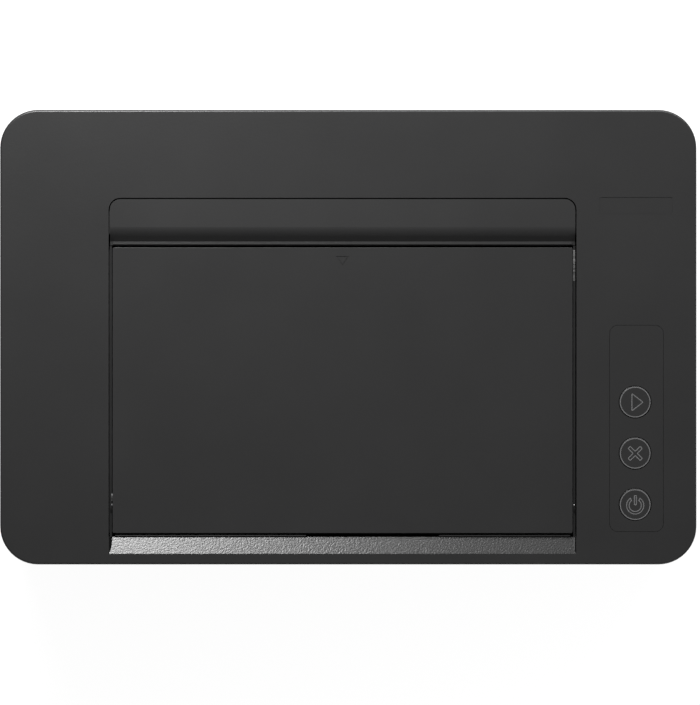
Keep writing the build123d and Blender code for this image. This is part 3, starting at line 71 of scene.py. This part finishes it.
class Tree:
    """Shader nodes of one material or of the world."""

    def __init__(self, tree):
        self.nodes = tree.nodes
        self.links = tree.links

    def feed(self, socket, value):
        if isinstance(value, bpy.types.NodeSocket):
            self.links.new(value, socket)
        else:
            socket.default_value = value

    def math(self, operation, *values):
        node = self.nodes.new("ShaderNodeMath")
        node.operation = operation
        for socket, value in zip(node.inputs, values):
            self.feed(socket, value)
        return node.outputs[0]

    def span(self, value, low, high, run=NOISE_RUN):
        """From low to high while the value goes along its run."""
        node = self.nodes.new("ShaderNodeMapRange")
        settings = {"Value": value, "From Min": run[0], "From Max": run[1], "To Min": low, "To Max": high}
        for name, setting in settings.items():
            self.feed(node.inputs[name], setting)
        return node.outputs["Result"]

    def place_from(self, source):
        return self.nodes.new("ShaderNodeTexCoord").outputs[source]

    def axes(self, place):
        node = self.nodes.new("ShaderNodeSeparateXYZ")
        self.links.new(place, node.inputs["Vector"])
        return node.outputs


class Recipe(Tree):
    """One principled material, built from noise in the object's own coordinates."""

    def __init__(self, name):
        self.material = bpy.data.materials.new(name)
        self.material.use_nodes = True
        super().__init__(self.material.node_tree)
        self.shader = self.nodes["Principled BSDF"]
        self.place = self.place_from("Object")

    def stretched(self, stretch):
        node = self.nodes.new("ShaderNodeMapping")
        node.inputs["Scale"].default_value = stretch
        self.links.new(self.place, node.inputs["Vector"])
        return node.outputs["Vector"]

    def noise(self, size, detail, stretch=None):
        node = self.nodes.new("ShaderNodeTexNoise")
        node.inputs["Scale"].default_value = 1.0 / size
        node.inputs["Detail"].default_value = detail
        place = self.place if stretch is None else self.stretched(stretch)
        self.links.new(place, node.inputs["Vector"])
        return node.outputs["Fac"]

    def cells(self, size):
        """A grey level for each cell of one size."""
        node = self.nodes.new("ShaderNodeTexVoronoi")
        node.inputs["Scale"].default_value = 1.0 / size
        self.links.new(self.place, node.inputs["Vector"])
        grey = self.nodes.new("ShaderNodeRGBToBW")
        self.links.new(node.outputs["Color"], grey.inputs["Color"])
        return grey.outputs["Val"]

    def shades(self, value, low, high, run=COLOUR_RUN):
        """From one colour to the other while the value goes along its run."""
        node = self.nodes.new("ShaderNodeValToRGB")
        for element, position, colour in zip(node.color_ramp.elements, run, (low, high)):
            element.position = position
            element.color = (*colour, 1)
        self.feed(node.inputs["Fac"], value)
        return node.outputs["Color"]

    def mixed(self, share, first, second):
        node = self.nodes.new("ShaderNodeMix")
        node.data_type = "RGBA"
        self.feed(node.inputs["Factor"], share)
        self.feed(node.inputs[MIX_FIRST], first)
        self.feed(node.inputs[MIX_SECOND], second)
        return node.outputs[MIX_RESULT]

    def relief(self, height, depth):
        node = self.nodes.new("ShaderNodeBump")
        node.inputs["Strength"].default_value = 1.0
        node.inputs["Distance"].default_value = depth
        self.links.new(height, node.inputs["Height"])
        self.links.new(node.outputs["Normal"], self.shader.inputs["Normal"])

    def axis(self, letter):
        return self.axes(self.place)[letter]

    def from_axis(self, middle):
        """Distance from a line along X through a point."""
        across = self.math("SUBTRACT", self.axis("Y"), middle.y)
        upward = self.math("SUBTRACT", self.axis("Z"), middle.z)
        squares = self.math("ADD", self.math("POWER", across, 2.0), self.math("POWER", upward, 2.0))
        return self.math("SQRT", squares)

    def set(self, **values):
        """Each of the shader's sockets that is named, an underscore for a space, gets its value."""
        for name, value in values.items():
            self.feed(self.shader.inputs[name.replace("_", " ")], value)
        return self.material


def around(colour, share):
    """A darker and a lighter version of a colour."""
    return [channel * (1 - share) for channel in colour], [channel * (1 + share) for channel in colour]


# Slope at the front of the recess, as the solids have it, and its finish
SLOPE_FOOT = -0.0967
SLOPE_TOP = -0.10485
SLOPE_DROP = 0.00248
RECESS_LEFT = -0.11595
RECESS_RIGHT = 0.11045
SLOPE_GRAIN = 4.2
SLOPE_ROUGHNESS = 0.9


def on_slope(recipe):
    """One on the slope, zero on the rest of the deck."""
    share = recipe.math("LESS_THAN", recipe.axis("Y"), SLOPE_FOOT)
    for operation, letter, limit in (
        ("GREATER_THAN", "Y", SLOPE_TOP), ("GREATER_THAN", "X", RECESS_LEFT),
        ("LESS_THAN", "X", RECESS_RIGHT),
    ):
        share = recipe.math("MULTIPLY", share, recipe.math(operation, recipe.axis(letter), limit))
    return share


# Materials
FINE = 3.0  # the detail of a noise
FLOW_MARKS = 0.04
CLOUDS = 0.012
DRAWN_LINES = 0.0004
EVEN = (1.0, 1.0, 1.0)
DRAWN = (0.02, 1.0, 1.0)
DRAWN_ROD = (0.03, 1.0, 1.0)
DRAWN_GLASS = (0.05, 1.0, 1.0)
METAL_MOTTLE = 0.07
METAL_UNEVEN = 0.07
SLEEVE_MOTTLE = 0.14
ROD_MOTTLE = 0.08
ROD_ROUGHNESS = 0.26
GLASS_MOTTLE = 0.02
GLASS_UNEVEN = 0.03
GLASS_RELIEF = 0.000001


def plastic(name, colour, roughness, grain, depth, mottle, specular=0.5, uneven=0.04, sloped=False):
    """Moulded plastic: an eroded grain, faint flow marks and uneven gloss.

    Where it is sloped, the recess's slope gets a coarser grain and a little more gloss.
    """
    recipe = Recipe(name)
    fine = recipe.noise(grain, FINE)
    if sloped:
        slope = on_slope(recipe)
        fine = recipe.math("MULTIPLY", fine, recipe.span(slope, 1.0, SLOPE_GRAIN, SHARE))
    broad = recipe.noise(FLOW_MARKS, FINE)
    both = recipe.math("MULTIPLY", recipe.math("ADD", fine, broad), 0.5)
    gloss = recipe.span(broad, roughness - uneven, roughness + uneven)
    if sloped:
        gloss = recipe.math("MULTIPLY", gloss, recipe.span(slope, 1.0, SLOPE_ROUGHNESS, SHARE))
    recipe.relief(fine, depth)
    recipe.shader.inputs["Specular IOR Level"].default_value = specular
    return recipe.set(Base_Color=recipe.shades(both, *around(colour, mottle)), Roughness=gloss)


def metal(name, colour, roughness, stretch=DRAWN, grain=DRAWN_LINES, depth=0.000004):
    """Plated steel or aluminium with drawn lines and a cloudy gloss."""
    recipe = Recipe(name)
    lines = recipe.noise(grain, 2.0, stretch)
    clouds = recipe.noise(CLOUDS, FINE)
    recipe.relief(lines, depth)
    recipe.shader.inputs["Metallic"].default_value = 1.0
    return recipe.set(
        Base_Color=recipe.shades(clouds, *around(colour, METAL_MOTTLE)),
        Roughness=recipe.span(lines, roughness - METAL_UNEVEN, roughness + METAL_UNEVEN),
    )


def clear(name, colour, roughness, ior):
    """Clear glass or moulded lens with faint drawing lines."""
    recipe = Recipe(name)
    lines = recipe.noise(0.002, 1.0, DRAWN_GLASS)
    recipe.relief(lines, GLASS_RELIEF)
    recipe.shader.inputs["Transmission Weight"].default_value = 1.0
    recipe.shader.inputs["IOR"].default_value = ior
    return recipe.set(
        Base_Color=recipe.shades(lines, *around(colour, GLASS_MOTTLE)),
        Roughness=recipe.span(lines, roughness, roughness + GLASS_UNEVEN),
    )


CHARCOAL = (0.029, 0.029, 0.0292)
# The cover's charcoal, made lighter for the hood: painted light on its top
HOOD_CHARCOAL_LIT = (0.0325, 0.0325, 0.0327)
SATIN = {"specular": 0.54, "uneven": 0.006}
SHELL = {"grain": 0.0008, "depth": 0.000018, "mottle": 0.04, **SATIN}
STEEL = (0.6, 0.6, 0.6)
BRIGHT_STEEL = (0.62, 0.62, 0.62)
ACETAL = (0.68, 0.66, 0.58)
SOFT_BLACK = (0.022, 0.022, 0.022)
SOFT_GREY = (0.11, 0.11, 0.115)
DRUM_TEAL = (0.03, 0.26, 0.28)
FUSER_BROWN = (0.16, 0.11, 0.08)
PINCH_GREY = (0.5, 0.5, 0.5)

cover = plastic("charcoal_grain", CHARCOAL, 0.3, **SHELL)
deck = plastic("charcoal_deck", CHARCOAL, 0.3, sloped=True, **SHELL)
hood = plastic("charcoal_hood_lit", HOOD_CHARCOAL_LIT, 0.3, **SHELL)
key = plastic("key_satin", CHARCOAL, 0.29, grain=0.0007, depth=0.000015, mottle=0.03, **SATIN)
film = plastic("panel_satin", CHARCOAL, 0.3, grain=0.0008, depth=0.000016, mottle=0.03, **SATIN)
# Near-black plastic for painted shade: strips and patches put where gaps lie in shade
shade_black = plastic(
    "shade_black", (0.005, 0.005, 0.005), 0.6, grain=0.0007, depth=0.00002, mottle=0.1, specular=0.15
)
# The tray's black plastic, made nearly black as painted shade in the gaps beside the flap
tray = plastic(
    "tray_grain_and_shade", (0.011, 0.011, 0.0111), 0.5, grain=0.0009, depth=0.00003, mottle=0.1, specular=0.3
)
frame_black = plastic(
    "glass_filled_black", (0.022, 0.022, 0.024), 0.5, grain=0.0012, depth=0.00004, mottle=0.16
)
cartridge = plastic(
    "cartridge_black", (0.028, 0.029, 0.034), 0.38, grain=0.0007, depth=0.00002, mottle=0.1
)
socket = plastic("socket_black", (0.016, 0.016, 0.017), 0.34, grain=0.0005, depth=0.00001, mottle=0.1)
rubber = plastic("black_rubber", (0.018, 0.018, 0.018), 0.78, grain=0.0005, depth=0.00006, mottle=0.22)
# Light grey for the buttons' print, and for painted highlights on the left hinge and the slope's right rail
print_and_highlight = plastic("grey_print_and_highlight", (0.15, 0.15, 0.152), 0.5, grain=0.0003, depth=0.000004, mottle=0.06)
acetal = plastic("natural_acetal", ACETAL, 0.36, grain=0.0011, depth=0.000012, mottle=0.03)
zinc = metal("zinc_sheet", (0.52, 0.53, 0.54), 0.34, stretch=EVEN, grain=0.004, depth=0.000006)
bright = metal("bright_steel", BRIGHT_STEEL, 0.24)
brushed = metal("brushed_spring", BRIGHT_STEEL, 0.3)
mirror = metal("silvered_glass", (0.9, 0.9, 0.9), 0.1, stretch=EVEN, grain=0.003, depth=0.0000005)
quartz = clear("quartz_tube", (0.95, 0.95, 0.93), 0.02, 1.46)
lens = clear("moulded_lens", (0.9, 0.93, 0.95), 0.03, 1.53)


def roller(node, core_radius, sleeve, core=STEEL, rough=0.75, core_metal=1.0, grain=0.0006, depth=0.00005):
    """A roller: its shaft shows one finish and the sleeve round it another."""
    low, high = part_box(node)
    recipe = Recipe(node + "_finish")
    outside = recipe.math("GREATER_THAN", recipe.from_axis((low + high) / 2), core_radius)
    fine = recipe.noise(grain, FINE)
    lines = recipe.noise(DRAWN_LINES, 2.0, DRAWN_ROD)
    skin = recipe.shades(fine, *around(sleeve, SLEEVE_MOTTLE))
    rod = recipe.shades(lines, *around(core, ROD_MOTTLE))
    recipe.relief(fine, depth)
    return recipe.set(
        Base_Color=recipe.mixed(outside, rod, skin),
        Roughness=recipe.span(outside, ROD_ROUGHNESS, rough, SHARE),
        Metallic=recipe.span(outside, core_metal, 0.0, SHARE),
    )


LANE = 0.0016
LANE_STRETCH = (1.0, 6.0, 6.0)
LANE_EDGE = (0.48, 0.52)
BOARD_GREENS = ((0.008, 0.075, 0.028), (0.02, 0.15, 0.06))
CHIP = 0.02
CHIP_RUN = (0.35, 0.6)
CHIP_COLOURS = ((0.02, 0.02, 0.022), (0.16, 0.15, 0.12))
BOARD_GRAIN = 0.0006
BOARD_RELIEF = 0.00001
BOARD_ROUGHNESS = (0.28, 0.45)


def circuit(name, letter, bottom, top):
    """A circuit board: green with lanes between two levels, and parts of many greys beyond them."""
    recipe = Recipe(name)
    level = recipe.axis(letter)
    inside = recipe.math(
        "MULTIPLY", recipe.math("GREATER_THAN", level, bottom), recipe.math("LESS_THAN", level, top)
    )
    lanes = recipe.shades(recipe.noise(LANE, 0.0, LANE_STRETCH), *BOARD_GREENS, LANE_EDGE)
    chips = recipe.shades(recipe.cells(CHIP), *CHIP_COLOURS, CHIP_RUN)
    fine = recipe.noise(BOARD_GRAIN, FINE)
    recipe.relief(fine, BOARD_RELIEF)
    return recipe.set(
        Base_Color=recipe.mixed(inside, chips, lanes), Roughness=recipe.span(fine, *BOARD_ROUGHNESS)
    )


FINISHES = {
    "top_cover": deck, "exit_hood": hood, "output_tray": tray, "output_flap": cover,
    "left_cover": cover, "right_cover": cover, "front_cover": cover, "input_tray_door": cover,
    "rear_panel": cover, "rear_door": cover, "base_pan": frame_black, "rubber_feet": rubber,
    "control_panel": film, "go_button": key, "cancel_button": key, "power_button": key,
    "left_frame": frame_black, "right_frame": frame_black, "frame_screws": bright,
    "scanner_shelf": zinc, "scanner_housing": frame_black, "scanner_lid": zinc, "fold_mirror": mirror,
    "scan_lens": lens, "polygon_motor": zinc, "polygon_mirror": mirror, "toner_cartridge": cartridge,
    "drum_gear": acetal, "pickup_gear": acetal, "fuser_housing": frame_black, "fuser_lamp": quartz,
    "fuser_gear": acetal, "idler_gear": acetal, "motor_pinion": acetal, "guide_pinion": acetal,
    "rear_paper_guide": frame_black, "feed_guides": frame_black, "motor_bracket": zinc,
    "main_motor": zinc, "power_inlet": socket, "data_port": socket, "fan_frame": socket,
    "fan_rotor": socket, "paper_bed": frame_black, "left_paper_guide": frame_black,
    "right_paper_guide": frame_black, "lift_plate": zinc,
    "drum": roller("drum", 0.0105, DRUM_TEAL, rough=0.22, grain=0.003, depth=0.000002),
    "developer_roller": roller("developer_roller", 0.0045, SOFT_BLACK),
    "transfer_roller": roller("transfer_roller", 0.0045, SOFT_BLACK),
    "registration_roller": roller(
        "registration_roller", 0.0064, ACETAL, SOFT_BLACK, rough=0.36, core_metal=0.0,
        grain=0.0011, depth=0.00001,
    ),
    "registration_pinch": roller("registration_pinch", 0.003, PINCH_GREY, rough=0.3),
    "pickup_roller": roller("pickup_roller", 0.0095, SOFT_GREY, ACETAL, rough=0.7, core_metal=0.0),
    "pressure_roller": roller("pressure_roller", 0.0045, SOFT_GREY),
    "heat_roller": roller("heat_roller", 0.0093, FUSER_BROWN, rough=0.32, grain=0.002, depth=0.000003),
    "exit_roller": roller("exit_roller", 0.0045, SOFT_BLACK, ACETAL, rough=0.7, core_metal=0.0),
    "exit_pinch_roller": roller("exit_pinch_roller", 0.0025, ACETAL, rough=0.4),
    "control_board": circuit("control_board_finish", "Z", 0.1660, 0.1677),
    "main_board": circuit("main_board_finish", "X", 0.1251, 0.1272),
    "power_supply": circuit("power_supply_finish", "Z", 0.0139, 0.0157),
}
for name, finish in FINISHES.items():
    slots = nodes_by_name[name].material_slots
    if not slots:
        nodes_by_name[name].data.materials.append(finish)
    for material_slot in nodes_by_name[name].material_slots:
        material_slot.material = finish


# Pieces that are in the scene only
def add_object(name, data):
    item = bpy.data.objects.new(name, data)
    bpy.context.scene.collection.objects.link(item)
    return item


def add_piece(name, mesh_maker, finish, body):
    mesh = bpy.data.meshes.new(name)
    shape = bmesh.new()
    mesh_maker(shape)
    bmesh.ops.recalc_face_normals(shape, faces=shape.faces)
    shape.to_mesh(mesh)
    shape.free()
    mesh.materials.append(finish)
    piece = add_object(name, mesh)
    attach(piece, body)


def add_band(shape, rows, closed):
    """A thin solid between two lines of points, each given at its bottom and at its top."""
    low_left, high_left, low_right, high_right = [[shape.verts.new(point) for point in row] for row in rows]
    count = len(low_left)
    for index in range(count if closed else count - 1):
        after = (index + 1) % count
        shape.faces.new((high_left[index], high_left[after], high_right[after], high_right[index]))
        shape.faces.new((low_left[index], low_right[index], low_right[after], low_left[after]))
        shape.faces.new((low_left[index], low_left[after], high_left[after], high_left[index]))
        shape.faces.new((low_right[index], high_right[index], high_right[after], low_right[after]))
    if not closed:
        for index in (0, count - 1):
            shape.faces.new((low_left[index], high_left[index], high_right[index], low_right[index]))


# Printed ring and symbol on each button
RING_PIXELS = 14.8
RING_STEPS = 96
CORNER_STEPS = 5
LINE = 0.86 * PIXEL
MITRE_LIMIT = 0.5
PRINT_TOP = DECK_Z + 0.00002
PRINT_BOTTOM = DECK_Z - 0.0001
BUTTON_PIXELS = {"go": (635.2, 402.1), "cancel": (635.2, 453.3), "power": (635.2, 504.6)}


def outline_sides(points):
    """The two edges of a stroke along a closed line of points."""
    left, right = [], []
    for index, point in enumerate(points):
        here = Vector(point)
        first = (here - Vector(points[index - 1])).normalized()
        second = (Vector(points[(index + 1) % len(points)]) - here).normalized()
        along = (first + second).normalized()
        reach = Vector((-along.y, along.x)) * (LINE / 2 / max(MITRE_LIMIT, along.dot(second)))
        left.append(here + reach)
        right.append(here - reach)
    return left, right


def add_stroke(shape, points):
    rows = [
        [(point.x, point.y, level) for point in side]
        for side in outline_sides(points) for level in (PRINT_BOTTOM, PRINT_TOP)
    ]
    add_band(shape, rows, closed=True)


def arc(centre, radius, start, stop, steps):
    """Points on an arc, from one angle to another in degrees."""
    points = []
    for step in range(steps):
        angle = math.radians(start + (stop - start) * step / (steps - 1))
        points.append((centre[0] + radius * math.cos(angle), centre[1] + radius * math.sin(angle)))
    return points


def softened(corners, radius):
    """A closed line through the corners, each cut back and rounded."""
    points = []
    for index, corner in enumerate(corners):
        here = Vector(corner)
        before = Vector(corners[index - 1])
        after = Vector(corners[(index + 1) % len(corners)])
        start = here + (before - here).normalized() * radius
        stop = here + (after - here).normalized() * radius
        for step in range(CORNER_STEPS):
            share = step / (CORNER_STEPS - 1)
            points.append(start.lerp(here, share).lerp(here.lerp(stop, share), share)[:])
    return points


def print_marks(button, symbol):
    """The ring and the symbol's closed lines, on one button."""
    centre = spot(*BUTTON_PIXELS[button])
    ring = arc(centre, RING_PIXELS * PIXEL, 0, 360 - 360 / RING_STEPS, RING_STEPS)

    def make(shape):
        for points in (ring, *symbol):
            add_stroke(shape, points)

    add_piece(button + "_print", make, print_and_highlight, button + "_key")


GO_CORNERS = (631.9, 393.6), (643.0, 402.2), (631.9, 410.8)
print_marks("go", [softened([spot(*corner) for corner in GO_CORNERS], 1.2 * PIXEL)])

CROSS_CENTRE = (635.2, 453.4)
ARM = 8.5 * PIXEL
HALF_ARM = 1.5 * PIXEL
cross = []
for quarter in range(4):
    turn = math.radians(45 + 90 * quarter)
    along = Vector((math.cos(turn), math.sin(turn)))
    side = Vector((-along.y, along.x))
    base = Vector(spot(*CROSS_CENTRE))
    for forward, sideways in ((ARM, -HALF_ARM), (ARM, HALF_ARM), (HALF_ARM, HALF_ARM)):
        cross.append((base + along * forward + side * sideways)[:])
print_marks("cancel", [softened(cross, 0.7 * PIXEL)])

POWER_CENTRE = (635.2, 505.4)
OUTER_ARC = 8.6 * PIXEL
INNER_ARC = 6.1 * PIXEL
OPENING = 34
ARC_END = 3
OUTER_STEPS = 48
INNER_STEPS = 40
BAR_CORNERS = (634.35, 495.6), (636.4, 495.6), (636.4, 504.9), (634.35, 504.9)
power_centre = spot(*POWER_CENTRE)
power_arc = arc(power_centre, OUTER_ARC, 90 + OPENING, 450 - OPENING, OUTER_STEPS)
power_arc += arc(power_centre, INNER_ARC, 450 - OPENING - ARC_END, 90 + OPENING + ARC_END, INNER_STEPS)
print_marks("power", [power_arc, softened([spot(*corner) for corner in BAR_CORNERS], 0.8 * PIXEL)])

# Flap catch and hinge clips on the tray's wall tops, with painted shade for the hinge slots and a painted
# highlight on the left hinge
TRAY_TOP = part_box("output_tray")[1].z
LEAF_THICKNESS = 0.00018
LEAF_SINK = 0.00004
LEAF_RISE = 0.00012
LEAF_STEPS = 24


def add_leaf(name, pixel_x, front_pixel, rear_pixel, width, finish):
    """A thin strip along the wall top, with its middle raised."""
    x, front = spot(pixel_x, front_pixel)
    rear = spot(pixel_x, rear_pixel)[1]

    def point(step, across, lift):
        share = step / LEAF_STEPS
        level = TRAY_TOP - LEAF_SINK + LEAF_RISE * math.sin(math.pi * share) + lift
        return x + across, front + (rear - front) * share, level

    def make(shape):
        rows = [
            [point(step, across, lift) for step in range(LEAF_STEPS + 1)]
            for across in (-width / 2, width / 2) for lift in (0.0, LEAF_THICKNESS)
        ]
        add_band(shape, rows, closed=False)

    add_piece(name, make, finish, "printer_body")


add_leaf("flap_catch", 574.1, 281.0, 250.0, 0.00092, brushed)
add_leaf("hinge_clip_left", 111.9, 500.8, 493.6, 0.0005, brushed)
# Light grey dot: a painted highlight on the left hinge
add_leaf("hinge_highlight_left", 111.9, 505.6, 503.9, 0.0005, print_and_highlight)
# Near-black patches: painted shade where the hinge slots lie dark
add_leaf("hinge_slot_shade_left", 111.2, 512.8, 507.4, 0.0008, shade_black)
add_leaf("hinge_clip_right", 574.2, 506.6, 504.6, 0.0005, brushed)
add_leaf("hinge_slot_shade_right", 574.6, 513.2, 507.2, 0.0009, shade_black)

# Painted shade strips and a painted highlight strip over the rails at the slope's ends
RAIL = ((0.0, 0.0), (0.00097, -0.00065), (0.00169, -SLOPE_DROP))
STRIP_LIFT = 0.00003
STRIP_STEPS = 16
SHADE_START = 0.05
SHADE_GLINT_SPLIT = 0.3


def circle_through(first, second, third):
    """Centre and radius of the circle through three points."""
    (ax, ay), (bx, by), (cx, cy) = first, second, third
    twice = 2 * (ax * (by - cy) + bx * (cy - ay) + cx * (ay - by))
    a, b, c = ax * ax + ay * ay, bx * bx + by * by, cx * cx + cy * cy
    x = (a * (by - cy) + b * (cy - ay) + c * (ay - by)) / twice
    y = (a * (cx - bx) + b * (ax - cx) + c * (bx - ax)) / twice
    return (x, y), math.dist((x, y), first)


def add_rail_strip(name, edge, inward, start, stop, finish):
    """A strip over one rail, along a share of its arc from the deck's edge to its foot."""
    (middle_x, middle_z), radius = circle_through(*RAIL)
    begin, _, end = [math.atan2(z - middle_z, x - middle_x) for x, z in RAIL]

    def point(step, y, lift):
        angle = begin + (end - begin) * (start + (stop - start) * step / STRIP_STEPS)
        x = middle_x + (radius + lift) * math.cos(angle)
        z = middle_z + (radius + lift) * math.sin(angle)
        return edge + inward * x, y, DECK_Z + z

    def make(shape):
        rows = [
            [point(step, y, lift) for step in range(STRIP_STEPS + 1)]
            for y in (SLOPE_TOP, SLOPE_FOOT) for lift in (-STRIP_LIFT, STRIP_LIFT)
        ]
        add_band(shape, rows, closed=False)

    add_piece(name, make, finish, "printer_body")


# Painted shade on both rails, and past the split on the right rail a light grey painted highlight
add_rail_strip("slope_shade_left", RECESS_LEFT, 1, SHADE_START, 1.0, shade_black)
add_rail_strip("slope_shade_right", RECESS_RIGHT, -1, SHADE_START, SHADE_GLINT_SPLIT, shade_black)
add_rail_strip("slope_glint_right", RECESS_RIGHT, -1, SHADE_GLINT_SPLIT, 1.0, print_and_highlight)

# Lips that stand on the slope's foot, in the gap before the flap
LIP_PROFILE = (
    (-0.09670, 0.17300), (-0.09670, 0.17540), (-0.09620, 0.17660), (-0.09572, 0.17652),
    (-0.09572, 0.17630), (-0.09630, 0.17550), (-0.09630, 0.17300),
)


def add_lip(name, left_pixel, right_pixel):
    def make(shape):
        ends = []
        for pixel in (left_pixel, right_pixel):
            x = spot(pixel, 0)[0]
            ends.append([shape.verts.new((x, y, z)) for y, z in LIP_PROFILE])
            shape.faces.new(ends[-1])
        left, right = ends
        for index in range(len(LIP_PROFILE)):
            shape.faces.new((left[index - 1], left[index], right[index], right[index - 1]))

    add_piece(name, make, cover, "printer_body")


add_lip("front_lip_left", 115.0, 306.0)
add_lip("front_lip_right", 439.0, 570.5)


# Floor and world: white where the camera sees them, dimmer in reflections
class Stage(Tree):
    """Shader nodes that tell the kinds of rays apart."""

    def __init__(self, tree):
        super().__init__(tree)
        rays = tree.nodes.new("ShaderNodeLightPath")
        self.seen = self.math("MAXIMUM", rays.outputs["Is Camera Ray"], rays.outputs["Is Transmission Ray"])
        self.mirrored = rays.outputs["Is Glossy Ray"]
        self.lit = rays.outputs["Is Diffuse Ray"]


FLOOR_HALF = 6.0
FLOOR_SQUARES = 4
FLOOR_GREY = (0.4, 0.4, 0.4)
NEAR_GLOW = 0.88
GLOW_RUN = (0.3, 1.2)
FRONT_DIM, REAR_DIM = 0.1, 0.6
DIM_RUN = (-0.3, 0.2)
floor_mesh = bpy.data.meshes.new("floor")
floor_shape = bmesh.new()
bmesh.ops.create_grid(floor_shape, x_segments=FLOOR_SQUARES, y_segments=FLOOR_SQUARES, size=FLOOR_HALF)
floor_shape.to_mesh(floor_mesh)
floor_shape.free()
floor = add_object("floor", floor_mesh)
floor_material = bpy.data.materials.new("pale_floor")
floor_material.use_nodes = True
floor_mesh.materials.append(floor_material)
stage = Stage(floor_material.node_tree)
stage.nodes.remove(stage.nodes["Principled BSDF"])
matte = stage.nodes.new("ShaderNodeBsdfDiffuse")
matte.inputs["Color"].default_value = (*FLOOR_GREY, 1)
glow = stage.nodes.new("ShaderNodeEmission")
floor_place = stage.axes(stage.place_from("Object"))
squares = stage.math(
    "ADD", stage.math("POWER", floor_place["X"], 2.0), stage.math("POWER", floor_place["Y"], 2.0)
)
away = stage.span(stage.math("SQRT", squares), NEAR_GLOW, 1.0, GLOW_RUN)
dimmed = stage.span(floor_place["Y"], FRONT_DIM, REAR_DIM, DIM_RUN)
shown = stage.math("MAXIMUM", stage.seen, stage.math("MULTIPLY", stage.mirrored, dimmed))
stage.feed(glow.inputs["Strength"], stage.math("MULTIPLY", away, shown))
total = stage.nodes.new("ShaderNodeAddShader")
stage.links.new(matte.outputs[0], total.inputs[0])
stage.links.new(glow.outputs[0], total.inputs[1])
stage.links.new(total.outputs[0], stage.nodes["Material Output"].inputs["Surface"])

FILL = 0.15
CEILING = 0.06
CEILING_RUN = (0.1, 0.6)
FRONT_SKY, REAR_SKY = 0.12, 0.6
SKY_RUN = (-0.5, 0.5)
world = bpy.data.worlds.new("studio")
world.use_nodes = True
bpy.context.scene.world = world
sky = Stage(world.node_tree)
backdrop = sky.nodes["Background"]
backdrop.inputs["Color"].default_value = (1, 1, 1, 1)
heading = sky.axes(sky.place_from("Generated"))
horizon = sky.span(sky.math("ABSOLUTE", heading["Z"]), 1.0, CEILING, CEILING_RUN)
rear_share = sky.span(heading["Y"], FRONT_SKY, REAR_SKY, SKY_RUN)
mirrored = sky.math("MULTIPLY", sky.mirrored, sky.math("MULTIPLY", horizon, rear_share))
filled = sky.math("MULTIPLY", sky.lit, FILL)
sky.feed(backdrop.inputs["Strength"], sky.math("MAXIMUM", sky.math("MAXIMUM", sky.seen, mirrored), filled))


# Lamps and camera
def add_softbox(name, place, aim, width, height, power, mirrored=True):
    lamp = bpy.data.lights.new(name, "AREA")
    lamp.shape = "RECTANGLE"
    lamp.size = width
    lamp.size_y = height
    lamp.energy = power
    holder = add_object(name, lamp)
    holder.location = place
    holder.rotation_mode = "QUATERNION"
    holder.rotation_quaternion = (Vector(aim) - Vector(place)).to_track_quat("-Z", "Y")
    holder.visible_camera = False
    holder.visible_glossy = mirrored


add_softbox("key_light", (-0.175, 0.445, 0.884), (0, 0, 0.17), width=0.10, height=0.10, power=4.3)
add_softbox("rear_light", (0.12, 0.75, 0.75), (0.05, 0, 0.17), width=1.2, height=0.3, power=7.4)
add_softbox(
    "front_fill", (0.5, -1.1, 0.42), (0, 0, 0.08), width=1.0, height=0.5, power=7.0, mirrored=False
)

LENS = 400.0
SENSOR = 36.0
FARTHEST = 100.0
camera_data = bpy.data.cameras.new("camera")
camera_data.lens = LENS
camera_data.sensor_width = SENSOR
camera_data.sensor_fit = "HORIZONTAL"
camera_data.clip_end = FARTHEST
camera = add_object("camera", camera_data)
centre_x, centre_y = spot(IMAGE_WIDTH / 2, IMAGE_HEIGHT / 2)
distance = IMAGE_WIDTH * PIXEL * LENS / SENSOR
camera.location = (centre_x, centre_y, DECK_Z + distance)
bpy.context.scene.camera = camera

bpy.context.scene.view_settings.view_transform = "Standard"
